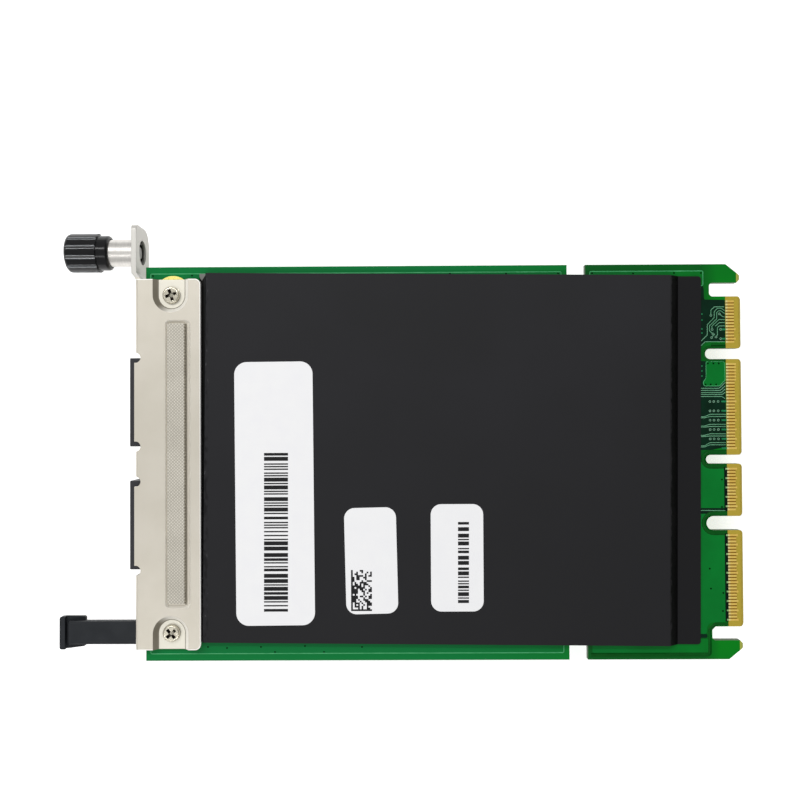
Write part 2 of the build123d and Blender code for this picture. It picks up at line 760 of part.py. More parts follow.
def heatsink_screws():
    """Screws from the secondary face into the heatsink's posts."""
    screw = headed_screw(sink_screw_head_radius, sink_screw_head_height, secondary_z, sink_face_z, chamfer)
    return Compound([Pos(x, y, 0) * screw for x, y in sink_posts()])


def under_board(length, width, height, x=0.0, y=0.0, drop=0.0):
    """Flat block hung under the primary face, or under a piece of height drop on it."""
    z_high = primary_z - drop
    return slab(x - length / 2, x + length / 2, y - width / 2, y + width / 2, z_high - height, z_high)


def controller_package():
    """Package of the network controller."""
    return under_board(package_side, package_side, package_height, sink_x)


def controller_die():
    """Bare die on the package."""
    return under_board(die_length, die_width, die_height, sink_x, 0.0, package_height)


def thermal_pad():
    """Soft pad between the die and the heatsink."""
    margin = 2 * thermal_pad_margin
    return under_board(die_length + margin, die_width + margin, thermal_pad_thickness, sink_x, 0.0,
                       package_height + die_height)


def power_inductors():
    """Shielded inductors with rounded corners and wrap-round terminals."""
    body = upright(RectangleRounded(inductor_side, inductor_side, inductor_corner),
                   primary_z - inductor_height, primary_z - inductor_terminal)
    body = chamfer(body.edges().group_by(Axis.Z)[0], inductor_terminal)
    foot = inductor_side / 4
    for side in (1, -1):
        body += under_board(foot, inductor_side / 2, inductor_terminal, side * (inductor_side - foot) / 2)
    body += under_board(foot, foot, inductor_terminal)
    places = [sink_x + x for x in inductor_row] + [board_length - inductor_tip_gap]
    return Compound([Pos(x, power_row_y, 0) * body for x in places])


def power_stages():
    """Flat power-stage packages."""
    places = [sink_x + x for x in power_stage_row] + [board_length - power_stage_tip_gap]
    return Compound([under_board(power_stage_length, power_stage_width, power_stage_height, x, power_row_y)
                     for x in places])


def polymer_capacitors():
    """Moulded capacitors: tapered body on two folded terminals."""
    low = Pos(0, 0, primary_z) * Rectangle(polymer_length, polymer_width)
    high = Pos(0, 0, primary_z - polymer_height) * Rectangle(polymer_length - polymer_taper,
                                                             polymer_width - polymer_taper)
    body = loft([low, high])
    strap = polymer_length + 2 * copper_thickness
    body += under_board(strap, polymer_width / 2, polymer_height / 2)
    places = [(sink_x + x, control_row_y) for x in polymer_row]
    places += [(board_length - tip_gap, y) for tip_gap, y in polymer_spots]
    return Compound([Pos(x, y, 0) * body for x, y in places])


def control_chips_group():
    """Flat square control chips."""
    return Compound([under_board(side, side, control_chip_height, board_length - tip_gap, y)
                     for tip_gap, y, side in control_chips])


def flash_memory():
    """Eight-lead memory package with gull-wing leads."""
    body = under_board(flash_length, flash_width, flash_height, drop=flash_standoff)
    mid_z = primary_z - flash_standoff - flash_height / 2
    inner = flash_width / 2
    bend = inner + flash_lead_reach / 3
    outer = inner + flash_lead_reach
    inner_bend = bend - flash_lead_thickness
    foot_z = primary_z - flash_lead_thickness
    under_z = mid_z + flash_lead_thickness
    lead_outline = ((inner, mid_z), (bend, mid_z), (bend, foot_z), (outer, foot_z), (outer, primary_z),
                    (inner_bend, primary_z), (inner_bend, under_z), (inner, under_z))
    lead = extrude(Plane.YZ * Polygon(*lead_outline, align=None), flash_lead_width / 2, both=True)
    for place in range(flash_lead_count):
        x = (place - (flash_lead_count - 1) / 2) * flash_lead_pitch
        body += Pos(x, 0, 0) * lead
        body += Pos(x, 0, 0) * Rot(0, 0, 180) * lead
    return Pos(sink_x + flash_row, control_row_y, 0) * body


def crystal():
    """Metal-lidded crystal on its ceramic base."""
    base = under_board(crystal_length, crystal_width, crystal_base)
    lid_length = crystal_length - 2 * crystal_lid_inset
    lid_width = crystal_width - 2 * crystal_lid_inset
    lid = upright(RectangleRounded(lid_length, lid_width, 2 * crystal_lid_inset),
                  primary_z - crystal_height, primary_z - crystal_base)
    return Pos(sink_x + crystal_row, control_row_y, 0) * (base + lid)


def ceramic_capacitors():
    """Capacitors in a ring round the controller."""
    length, width, height = large_cap
    caps = []
    reach = package_side / 2 + ring_gap
    for place in range(ring_caps_per_side):
        along = (place - (ring_caps_per_side - 1) / 2) * ring_cap_pitch
        for side in (1, -1):
            caps.append(under_board(width, length, height, sink_x + along, side * reach))
            caps.append(under_board(length, width, height, sink_x + side * reach, along))
    return Compound(caps)


def coupling_capacitors():
    """Rows of small capacitors on the signal pairs behind the two wide contact sections."""
    length, width, height = small_cap
    spans = section_spans()
    caps = []
    for upper, lower in (spans[1], spans[3]):
        middle = (upper + lower) / 2
        for place in range(coupling_caps):
            y = middle + (place - (coupling_caps - 1) / 2) * coupling_cap_pitch
            caps.append(under_board(length, width, height, board_length - coupling_cap_tip_gap, y))
    return Compound(caps)


def decoupling_capacitors():
    """Grid of small capacitors behind the controller, under the film."""
    length, width, height = small_cap
    half = (decoupling_grid - 1) / 2
    caps = []
    for row in range(decoupling_grid):
        for column in range(decoupling_grid):
            x = sink_x + (column - half) * decoupling_pitch
            y = (row - half) * decoupling_pitch
            caps.append(slab(x - length / 2, x + length / 2, y - width / 2, y + width / 2,
                             secondary_z, secondary_z + height))
    return Compound(caps)


def all_pieces():
    """Every node's name with its piece."""
    pieces = {
        "circuit_board": circuit_board(),
        "edge_contacts_secondary": edge_contacts(secondary_z),
        "edge_contacts_primary": edge_contacts(primary_z - copper_thickness),
        "ground_pads": ground_pads(),
        "faceplate_bracket": faceplate_bracket(),
        "gasket_strip": gasket_strip(),
        "bracket_screws": bracket_screws(),
        "bracket_nuts": bracket_nuts(),
        "thumbscrew_knob": thumbscrew_knob(),
        "thumbscrew_screw": thumbscrew_screw(),
        "thumbscrew_ferrule": thumbscrew_ferrule(),
        "thumbscrew_spring": thumbscrew_spring(),
        "pull_tab": pull_tab(),
        "insulator_sheet": insulator_sheet(),
        "heatsink": heatsink(),
        "heatsink_screws": heatsink_screws(),
        "thermal_pad": thermal_pad(),
        "controller_package": controller_package(),
        "controller_die": controller_die(),
        "power_inductors": power_inductors(),
        "power_stages": power_stages(),
        "polymer_capacitors": polymer_capacitors(),
        "control_chips": control_chips_group(),
        "flash_memory": flash_memory(),
        "crystal": crystal(),
        "ceramic_capacitors": ceramic_capacitors(),
        "coupling_capacitors": coupling_capacitors(),
        "decoupling_capacitors": decoupling_capacitors(),
    }
    for name, *place in labels:
        pieces[name] = blank_label(*place)
    for number, y in enumerate(port_centres, start=1):
        pieces[f"jack_{number}_housing"] = jack_housing(y)
        pieces[f"jack_{number}_shield"] = jack_shield(y)
        pieces[f"jack_{number}_wires"] = jack_wires(y)
        pieces[f"jack_{number}_light_pipes"] = jack_light_pipes(y)
    return pieces


os.makedirs("parts", exist_ok=True)
to_origin = Pos(-origin_x, -origin_y, 0)
for name, piece in all_pieces().items():
    export_step(to_origin * piece, f"parts/{name}.step")
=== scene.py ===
import json
import math
import random

import bmesh
import bpy
from mathutils import Euler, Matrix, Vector


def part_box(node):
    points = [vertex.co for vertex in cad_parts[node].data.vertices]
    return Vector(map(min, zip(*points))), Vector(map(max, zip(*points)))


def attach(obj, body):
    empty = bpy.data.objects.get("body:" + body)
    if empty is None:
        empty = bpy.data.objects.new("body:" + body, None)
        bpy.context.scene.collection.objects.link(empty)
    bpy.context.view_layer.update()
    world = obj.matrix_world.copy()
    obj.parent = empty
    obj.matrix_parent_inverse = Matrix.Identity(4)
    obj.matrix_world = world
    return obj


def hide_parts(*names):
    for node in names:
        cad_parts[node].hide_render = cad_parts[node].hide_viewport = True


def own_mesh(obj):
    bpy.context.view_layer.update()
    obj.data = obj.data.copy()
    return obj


# Finishes and fine detail for a mezzanine network card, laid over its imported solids.
# Sizes are in millimetres, and those of the room in metres. Places on the card are measured from the
# board's front edge, its centre line and the surface that the card lies on.
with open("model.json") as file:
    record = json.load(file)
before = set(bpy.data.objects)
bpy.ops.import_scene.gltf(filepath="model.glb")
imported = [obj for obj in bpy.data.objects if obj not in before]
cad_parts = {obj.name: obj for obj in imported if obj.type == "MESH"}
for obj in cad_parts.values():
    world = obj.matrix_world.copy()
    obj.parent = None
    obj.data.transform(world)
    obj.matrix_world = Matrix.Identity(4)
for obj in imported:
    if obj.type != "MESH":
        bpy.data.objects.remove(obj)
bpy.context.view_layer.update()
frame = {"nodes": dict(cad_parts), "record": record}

mm = 0.001
board_low, board_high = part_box("circuit_board")
board_middle_y = (board_low.y + board_high.y) / 2

# Camera: above the card, looking almost straight down
picture_size = 800
camera_place = Vector((1.691, 5.082, 195.411)) * mm
camera_lens = 42.48
camera_sensor = 36.0
camera_turn = Euler([math.radians(turn) for turn in (0.92, 0.398, -0.275)])
camera_near = 5.0

# Room: a world that is dimmer to the right, a glowing floor and two strip lights (side and power)
room_strength = 0.62
room_dim = 0.2
room_fade = (0.3, 0.95)
floor_half = 1.0
floor_glow = 0.55
strip_length = 0.6
strip_width = 0.04
strip_left = -0.2
strip_aside = 0.26
strip_height = 0.52
strip_lights = {"far_strip": (1, 1.05), "near_strip": (-1, 0.55)}

# How far each layer stands proud of the face that it lies on, and how thick ribbons and studs are
void_rise = 0.010
pour_rise = 0.018
rim_rise = 0.026
trace_rise = 0.034
via_rise = 0.042
ink_rise = 0.012
layer_height = 0.02

# Steps in the corner of an outline, the bend of a ribbon, the end of a moat and a turn of a helix
corner_steps = 4
bend_steps = 4
moat_steps = 12
helix_steps = 28

# Edge connector: bare laminate, slots in the tongue (closed end, upper edge, lower edge) and contacts
laminate_start = 112.0
wing_laminate_start = 114.15
tongue_half = 33.0
near_slot = (108.0, 21.685, 19.635)
tongue_slots = ((108.0, 1.175, -0.525), (108.0, -10.585, -13.285))
heel_range = (112.55, 112.15)
front_pads_end = 20.0
long_contact = 1.75
island_contacts = 6
contact_gap = 1.0
contact_margin = 0.15
gap_width = 0.6
stub_length = 1.0
stub_width = 0.34
stub_overlap = 0.05
bridge_length = 0.34
via_steps = (1.62, 2.45, 3.2)
pair_half = 1.1

# Mask: where it turns bluer towards the front, and where the film's edge shades it
blue_range = (105.0, 60.0)
shade_start = 84.0
shade_range = (107.4, 110.4)

# Bracket: its flange and dimples, the flange's rim with its painted highlight, depths below its top, and the
# painted shadow beside the gasket
flange_start = 1.0
flange_reach = 11.0
flange_half = 35.45
flange_corner = 1.1
rim_width = 0.2
rim_fade = 0.08
rim_slack = 0.05
dimple_start = 27.8
dimple_depths = (0.8, 0.95)
cut_depth = 1.02
ear_gap = 0.3
pocket_shadow = (0.42, 0.24)
pocket_depth = 0.2
pocket_slack = 0.1
weave_scale = 735.0
weave_depth = 0.08

# Film: its two folds, heights above the board, drops below its face for the painted black shade on the
# slope, the foot with its grey corner, and how far past the flange its painted shadow reaches
first_fold = (12.6, 12.0)
second_fold = 98.0
landing_height = 0.5
slope_height = 0.3
slope_drops = (0.02, 0.2)
slope_rag = 0.3
foot_height = 0.65
foot_slack = 0.15
flange_shadow_gap = 0.35
foot_spread = 0.66
foot_tip_pixel = (201.8, 280.7)

# Print on the labels, in pixels of the photograph: left, right, top and bottom of each field
bar_fields = ((264, 288, 453, 612), (458, 469, 522, 603))
bar_module = 1.3
bar_widths = (1.0, 1.0, 2.0, 3.0)
bar_spaces = (1.0, 1.0, 2.0)
code_field = (351, 372, 570, 611)
code_modules = (12, 24)
code_fill = 0.5

# Chip capacitors, pads, outlines, vias and tracks of the lower face
cap_proud = 0.015
cap_share = 0.25
pad_drop = 0.03
chip_pitches = {"control_chips": 0.5, "power_stages": 0.65}
chip_pad_length = 0.6
large_pad_shares = {"power_inductors": 0.55, "polymer_capacitors": 0.6}
large_pad_length = 1.6
outlined = ("power_inductors", "power_stages", "polymer_capacitors", "control_chips", "crystal",
            "flash_memory")
outline_margin = 0.35
dot_gap = 0.5
jacks = ("jack_1_shield", "jack_2_shield")
via_count = 170
via_field = ((2, 106), (-36, 36))
via_clear = 0.8
contact_run = 2.2
controller_runs = (1.2, 9.0, 15.0)
controller_share = 0.55
jack_tracks = 8
jack_pitch = 1.5
jack_runs = (2.0, 8.5, 22.0)
jack_share = 0.5
inner_pitch = 0.55

# Thumbscrew: thread and spring
thread_length = 5.0
thread_tip = 0.4
thread_radius = 1.48
thread_pitch = 0.5
thread_section = 0.16
spring_radius = 0.2
spring_turns = 5.0

# Noise that makes the clouds and the grain of every finish, and samples of its softened edges
cloud_range = (0.35, 0.65)
grain_range = (0.3, 0.7)
grain_detail = 2.0
edge_samples = 6

# Finishes without a pattern, by material slot: name, two tones, range of roughness, other settings
slot_finishes = {
    "screw_steel": ("bright_nickel", (224, 218, 200), (206, 200, 182), (0.18, 0.3),
                    dict(metal=1.0, patch=1.5, grain=0.15, edge=0.06)),
    "spring_steel": ("drawn_wire", (176, 176, 174), (150, 150, 150), (0.25, 0.4), dict(metal=1.0)),
    "tab_plastic": ("tab_plastic", (40, 43, 47), (34, 37, 41), (0.46, 0.6),
                    dict(specular=0.2, patch=3.0, grain=0.14, bump=0.1, edge=0.12)),
    "label_white": ("label_paper", (254, 254, 255), (252, 252, 254), (0.5, 0.62),
                    dict(specular=0.9, patch=3.0, grain=0.1)),
    "jack_plastic": ("jack_plastic", (46, 46, 51), (40, 40, 45), (0.45, 0.58),
                     dict(specular=0.35, grain=0.15, bump=0.08, edge=0.08)),
    "shield_steel": ("tinned_sheet", (216, 214, 208), (198, 196, 190), (0.24, 0.38),
                     dict(metal=1.0, grain=0.2, edge=0.08)),
    "sink_aluminium": ("extruded_aluminium", (196, 197, 199), (180, 181, 184), (0.3, 0.44),
                       dict(metal=1.0, patch=4.0, grain=0.12, bump=0.08, edge=0.08,
                            stretch=(0.04, 1.0, 1.0))),
    "thermal_grey": ("thermal_pad", (150, 158, 168), (136, 144, 156), (0.6, 0.75),
                     dict(grain=0.2, bump=0.15)),
    "package_green": ("package_laminate", (34, 84, 50), (28, 74, 44), (0.4, 0.5), dict(grain=0.15)),
    "die_silicon": ("polished_silicon", (92, 94, 104), (80, 82, 92), (0.06, 0.12),
                    dict(metal=0.6, grain=0.4, bump=0.01)),
    "inductor_grey": ("pressed_iron", (78, 78, 78), (62, 62, 62), (0.5, 0.7),
                      dict(patch=0.8, grain=0.18, bump=0.35, edge=0.12)),
    "chip_black": ("moulded_package", (36, 36, 38), (30, 30, 32), (0.45, 0.6),
                   dict(specular=0.35, grain=0.1, bump=0.1, edge=0.06)),
    "polymer_black": ("capacitor_case", (44, 44, 44), (36, 36, 36), (0.35, 0.5),
                      dict(grain=0.12, bump=0.08, edge=0.08)),
    "lid_steel": ("plated_lid", (214, 212, 204), (196, 194, 186), (0.2, 0.34),
                  dict(metal=1.0, grain=0.12, edge=0.06)),
    "ceramic_tan": ("fired_ceramic", (172, 146, 112), (156, 130, 98), (0.35, 0.5),
                    dict(patch=0.6, grain=0.1, edge=0.05)),
}

# Finishes of the fine detail, by name: two tones, range of roughness, metal, shine, size of the clouds
# and of the grain, and relief where it isn't the usual one
detail_finishes = {
    "thread_steel": ((112, 110, 106), (88, 86, 83), (0.25, 0.4), 1.0, 0.5, 1.0, 0.12),
    # Tracks: copper under the mask, made paler by a painted highlight
    "trace_green": ((122, 184, 146), (96, 162, 122), (0.3, 0.42), 0.0, 0.1, 1.5, 0.1),
    "stub_green": ((42, 138, 88), (30, 124, 74), (0.3, 0.42), 0.0, 0.1, 1.5, 0.1),
    "bridge_green": ((158, 196, 134), (134, 176, 110), (0.3, 0.42), 0.0, 0.1, 6.0, 0.1),
    # Laminate between the contacts, darkened with painted shade
    "contact_bed": ((134, 94, 12), (122, 84, 8), (0.4, 0.5), 0.0, 0.1, 0.8, 0.1),
    # Pale green of the painted highlight on the pours' rims, also worn by the lower face's tracks
    "rim_green": ((88, 184, 124), (68, 168, 106), (0.3, 0.42), 0.0, 0.1, 2.0, 0.1),
    "strip_green": ((0, 122, 38), (0, 111, 32), (0.32, 0.42), 0.0, 0.1, 6.0, 0.25, 0.04),
    "pour_green": ((0, 124, 44), (0, 115, 40), (0.32, 0.42), 0.0, 0.1, 6.0, 0.25, 0.04),
    "void_green": ((0, 42, 24), (0, 34, 18), (0.32, 0.42), 0.0, 0.1, 2.0, 0.2),
    "moat_green": ((0, 90, 22), (0, 80, 18), (0.32, 0.42), 0.0, 0.1, 2.0, 0.2),
    "gap_dark": ((0, 24, 12), (0, 18, 10), (0.35, 0.45), 0.0, 0.1, 1.0, 0.2),
    "via_hole": ((2, 22, 4), (0, 14, 2), (0.4, 0.5), 0.0, 0.02, 6.0, 0.1),
    "via_ring": ((128, 176, 146), (100, 152, 122), (0.3, 0.42), 0.0, 0.5, 0.8, 0.1),
    "reflowed_tin": ((214, 214, 212), (190, 190, 188), (0.2, 0.34), 1.0, 0.5, 0.6, 0.1),
    "silkscreen": ((232, 234, 230), (218, 222, 216), (0.5, 0.6), 0.0, 0.3, 1.0, 0.1),
    "label_ink": ((22, 22, 24), (30, 30, 32), (0.5, 0.6), 0.0, 0.2, 1.0, 0.1),
}


def along(x):
    """X of the row frame at a distance behind the board's front edge."""
    return board_low.x + x * mm


def at(x, y, z):
    """Point of the row frame at a place on the card."""
    return Vector((along(x), board_middle_y + y * mm, z * mm))


def seen(across, down, height):
    """Point at a height of the row frame that shows at a pixel of the photograph."""
    middle = picture_size / 2
    depth = picture_size * camera_lens / camera_sensor
    ray = camera_turn.to_matrix() @ Vector((across - middle, middle - down, -depth))
    return camera_place + ray * ((height - camera_place.z) / ray.z)


def seen_path(rise, *pixels):
    """Path on the board's upper face through pixels of the photograph."""
    return [seen(across, down, board_high.z + rise * mm) for across, down in pixels]


def card_path(rise, *places):
    """Path on the board's upper face through places on the card."""
    return [at(x, y, board_high.z / mm + rise) for x, y in places]


def level(height, *places):
    """Path at one height of the row frame."""
    return [Vector((x, y, height)) for x, y in places]


def rectangle(height, left, right, first, last):
    """Corners of a rectangle at a height, from the left end of its first side."""
    return level(height, (left, first), (right, first), (right, last), (left, last))


def raised(path, rise):
    """Path lifted by a rise."""
    return [point + Vector((0, 0, rise * mm)) for point in path]


def loop(outline):
    """Outline as a path that comes back to its start."""
    return [*outline, outline[0]]


def rounded(points, radius):
    """Closed outline with its corners rounded."""
    outline = []
    for place, corner in enumerate(points):
        before = points[place - 1] - corner
        after = points[(place + 1) % len(points)] - corner
        reach = min(radius * mm, before.length / 2, after.length / 2)
        start = corner + before.normalized() * reach
        end = corner + after.normalized() * reach
        for step in range(corner_steps + 1):
            share = step / corner_steps
            outline.append(start.lerp(corner, share).lerp(corner.lerp(end, share), share))
    return outline


def linear(*channels):
    """Colour on the picture's 0 to 255 scale, as a shader takes it, by the standard curve of screens."""
    shares = []
    for channel in channels:
        share = channel / 255
        shares.append(share / 12.92 if share <= 0.04045 else ((share + 0.055) / 1.055) ** 2.4)
    return (*shares, 1.0)


def wire(tree, kind, inputs=None, **settings):
    """New node with its settings, its inputs set to values or joined to sockets."""
    node = tree.nodes.new(kind)
    for name, value in settings.items():
        setattr(node, name, value)
    for name, value in (inputs or {}).items():
        if isinstance(value, bpy.types.NodeSocket):
            tree.links.new(value, node.inputs[name])
        else:
            node.inputs[name].default_value = value
    return node


def made(tree, kind, inputs=None, **settings):
    """First output of a new node."""
    return wire(tree, kind, inputs, **settings).outputs[0]


def mixed(tree, share, first, second):
    """Colour between two colours."""
    return wire(tree, "ShaderNodeMix", {0: share, 6: first, 7: second}, data_type="RGBA").outputs[2]


def sums(tree, operation, first, second=0.0):
    """Result of one step of arithmetic."""
    return made(tree, "ShaderNodeMath", {0: first, 1: second}, operation=operation)


def over(tree, value, limit):
    """1 where a value is over a limit, and 0 elsewhere."""
    return sums(tree, "GREATER_THAN", value, limit)


def under(tree, value, limit):
    """1 where a value is under a limit, and 0 elsewhere."""
    return sums(tree, "LESS_THAN", value, limit)


def product(tree, first, *others):
    """Shares multiplied, which holds where all of them do."""
    for other in others:
        first = sums(tree, "MULTIPLY", first, other)
    return first


def distance(tree, value, middle):
    """How far a value is from a middle."""
    return sums(tree, "ABSOLUTE", sums(tree, "SUBTRACT", value, middle))


def between(tree, value, low, high, to_low=0.0, to_high=1.0):
    """Value carried evenly from one range to another and held at its ends."""
    limits = {"From Min": low, "From Max": high, "To Min": to_low, "To Max": to_high}
    return made(tree, "ShaderNodeMapRange", {"Value": value, **limits})


def speckle(tree, place, size, stretch=(1.0, 1.0, 1.0), detail=3.0):
    """Noise whose lumps are about a size across, drawn out along the axes with a small stretch."""
    scaled = made(tree, "ShaderNodeVectorMath", {0: place, 1: stretch}, operation="MULTIPLY")
    noise = wire(tree, "ShaderNodeTexNoise", {"Vector": scaled, "Scale": 1 / (size * mm), "Detail": detail})
    return noise.outputs["Fac"]


def split(tree, vector):
    """The three parts of a vector."""
    return wire(tree, "ShaderNodeSeparateXYZ", {0: vector}).outputs


def canvas(material):
    """Tree of a material, its Object coordinates, and their three parts."""
    tree = material.node_tree
    place = wire(tree, "ShaderNodeTexCoord").outputs["Object"]
    return tree, place, *split(tree, place)


def facing(tree):
    """The surface's direction along X, and how far it faces up or down."""
    forward, _, upward = split(tree, wire(tree, "ShaderNodeNewGeometry").outputs["Normal"])
    return forward, sums(tree, "ABSOLUTE", upward)


def shader_input(material, name):
    """Input of a material's shader."""
    return material.node_tree.nodes["Principled BSDF"].inputs[name]


def finish(name, tone, second, rough, metal=0.0, specular=0.5, patch=6.0, grain=0.2, bump=0.05, edge=0.0,
           stretch=(1.0, 1.0, 1.0)):
    """Surface with cloudy tone, uneven gloss, fine relief and, where edge is set, softened edges."""
    material = bpy.data.materials.new(name)
    material.use_nodes = True
    tree, place, *_ = canvas(material)
    clouds = between(tree, speckle(tree, place, patch, stretch), *cloud_range)
    grains = speckle(tree, place, grain, stretch, grain_detail)
    relief = wire(tree, "ShaderNodeBump", {"Height": grains, "Strength": bump, "Distance": grain * mm})
    if edge:
        soft_edge = made(tree, "ShaderNodeBevel", {"Radius": edge * mm}, samples=edge_samples)
        tree.links.new(soft_edge, relief.inputs["Normal"])
    colour = mixed(tree, clouds, linear(*tone), linear(*second))
    tree.links.new(colour, shader_input(material, "Base Color"))
    tree.links.new(between(tree, grains, *grain_range, *rough), shader_input(material, "Roughness"))
    tree.links.new(relief.outputs[0], shader_input(material, "Normal"))
    shader_input(material, "Metallic").default_value = metal
    shader_input(material, "Specular IOR Level").default_value = specular
    return material


def lay(material, share, tone):
    """Lays a tone, or a colour that nodes work out, over a finish where a share holds."""
    tree = material.node_tree
    base = shader_input(material, "Base Color")
    colour = linear(*tone) if isinstance(tone, tuple) else tone
    tree.links.new(mixed(tree, share, base.links[0].from_socket, colour), base)


def bluer_at_front(material, tone):
    """Turns a green bluer towards the front of the board."""
    tree, _, x, _, _ = canvas(material)
    lay(material, between(tree, x, *map(along, blue_range)), tone)


def hollowed(material, reach, dark):
    """Darkens a finish in narrow hollows with painted shade."""
    tree = material.node_tree
    occlusion = wire(tree, "ShaderNodeAmbientOcclusion", {"Distance": reach * mm}, samples=8)
    lay(material, between(tree, occlusion.outputs["AO"], 0.85, 0.6), dark)


def mask_green():
    """Solder mask, with bare laminate on the tongue and the wing tips and cut laminate at the sides."""
    material = finish("mask_green", (0, 130, 24), (0, 120, 28), (0.32, 0.42), specular=0.1, patch=9.0,
                      grain=0.3, bump=0.03)
    bluer_at_front(material, (0, 124, 58))
    tree, place, x, y, _ = canvas(material)
    shade = between(tree, x, *map(along, shade_range), 0.85, 0.0)
    lay(material, product(tree, shade, over(tree, x, along(shade_start))), (0, 86, 26))
    on_tongue = under(tree, distance(tree, y, board_middle_y), tongue_half * mm)
    start = between(tree, on_tongue, 0.0, 1.0, along(wing_laminate_start), along(laminate_start))
    laminate = mixed(tree, on_tongue, linear(172, 180, 82), linear(188, 166, 62))
    fibres = between(tree, speckle(tree, place, size=0.5, stretch=(1.0, 3.0, 1.0)), 0.4, 0.8, 0.0, 0.3)
    lay(material, over(tree, x, start), mixed(tree, fibres, laminate, linear(156, 126, 36)))
    layers = wire(tree, "ShaderNodeTexWave", {"Vector": place, "Scale": 900.0, "Distortion": 2.0},
                  bands_direction="Z").outputs["Fac"]
    _, upward = facing(tree)
    lay(material, under(tree, upward, 0.3), mixed(tree, layers, linear(44, 76, 42), linear(78, 100, 62)))
    return material


def flange_rim_highlight(tree, x, off_centre):
    """Share of the flange's rim, with its rounded corners, where a highlight is painted."""
    squares = []
    corner_x = along(flange_reach - flange_corner)
    corner_y = (flange_half - flange_corner) * mm
    for value, start in ((x, corner_x), (off_centre, corner_y)):
        past = sums(tree, "MAXIMUM", sums(tree, "SUBTRACT", value, start), 0.0)
        squares.append(product(tree, past, past))
    outward = sums(tree, "SQRT", sums(tree, "ADD", *squares))
    inner = flange_corner - rim_width
    rim = between(tree, outward, inner * mm, (inner + rim_fade) * mm)
    return product(tree, rim, under(tree, outward, (flange_corner + rim_slack) * mm))


def beside_gasket(tree, x, z, off_centre):
    """Share of the pocket's floor behind the gasket, where its shadow is painted."""
    low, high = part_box("gasket_strip")
    beside = between(tree, x, *[high.x + reach * mm for reach in pocket_shadow])
    return product(tree, beside, over(tree, x, high.x - pocket_slack * mm),
                   under(tree, z, low.z + pocket_depth * mm),
                   under(tree, off_centre, high.y - board_middle_y + pocket_slack * mm))


def plated_sheet():
    """Plated sheet with a fine matt grain, painted highlights on the flange's rim and cut faces, painted
    light and shade in the dimples, a painted shadow in the pocket and painted shade on the ear.
    """
    material = finish("plated_sheet", (216, 210, 197), (210, 204, 190), (0.36, 0.46), metal=0.6, patch=7.0,
                      grain=0.16, bump=0.06, edge=0.15)
    tree, _, x, y, z = canvas(material)
    forward, upward = facing(tree)
    off_centre = distance(tree, y, board_middle_y)
    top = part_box("faceplate_bracket")[1].z
    # Painted highlight along the flange's rim
    lay(material, flange_rim_highlight(tree, x, off_centre), (255, 254, 250))
    # Painted highlight on the flange's cut faces
    cut = product(tree, under(tree, upward, 0.25), over(tree, z, top - cut_depth * mm))
    lay(material, cut, (250, 249, 244))
    on_flange = over(tree, x, along(flange_start))
    in_dimple = over(tree, off_centre, dimple_start * mm)
    deep = between(tree, z, *[top - depth * mm for depth in dimple_depths])
    sunk = product(tree, deep, in_dimple, on_flange)
    # Painted light on the dimples' floors
    lay(material, sunk, (231, 227, 213))
    # Painted light on the flange's sloped faces, painted shade on dimple walls that face +X and on the
    # lowest slopes
    sloped = product(tree, between(tree, upward, 0.25, 0.35), between(tree, upward, 0.92, 0.82), on_flange)
    turned_away = product(tree, in_dimple, between(tree, forward, 0.1, 0.6))
    wall = mixed(tree, turned_away, linear(252, 248, 238), linear(134, 127, 112))
    lay(material, sloped, mixed(tree, sunk, wall, linear(150, 144, 130)))
    # Painted shadow on the pocket's floor beside the gasket
    lay(material, beside_gasket(tree, x, z, off_centre), (142, 136, 122))
    # Painted shade on the ear, darker where its face turns to +X
    ear = mixed(tree, between(tree, forward, 0.4, 0.6), linear(205, 203, 197), linear(188, 184, 178))
    lay(material, over(tree, y, board_middle_y + (flange_half + ear_gap) * mm), ear)
    tree.links.new(between(tree, sloped, 0.0, 1.0, 0.6, 0.0), shader_input(material, "Metallic"))
    return material


def conductive_cloth():
    """Fine diagonal twill of plated thread."""
    material = finish("conductive_cloth", (226, 221, 209), (216, 211, 199), (0.5, 0.7), metal=0.5,
                      grain=0.12, bump=0.1)
    tree, place, *_ = canvas(material)
    threads = []
    for turn in (math.radians(45), math.radians(-45)):
        turned = made(tree, "ShaderNodeMapping", {"Vector": place, "Rotation": (0.0, 0.0, turn)})
        bands = wire(tree, "ShaderNodeTexWave", {"Vector": turned, "Scale": weave_scale})
        threads.append(bands.outputs["Fac"])
    weave = product(tree, *threads)
    lay(material, between(tree, weave, 0.0, 0.5, 0.52, 0.0), (134, 128, 114))
    relief = made(tree, "ShaderNodeBump", {"Height": weave, "Strength": 0.6, "Distance": weave_depth * mm})
    tree.links.new(relief, shader_input(material, "Normal"))
    return material


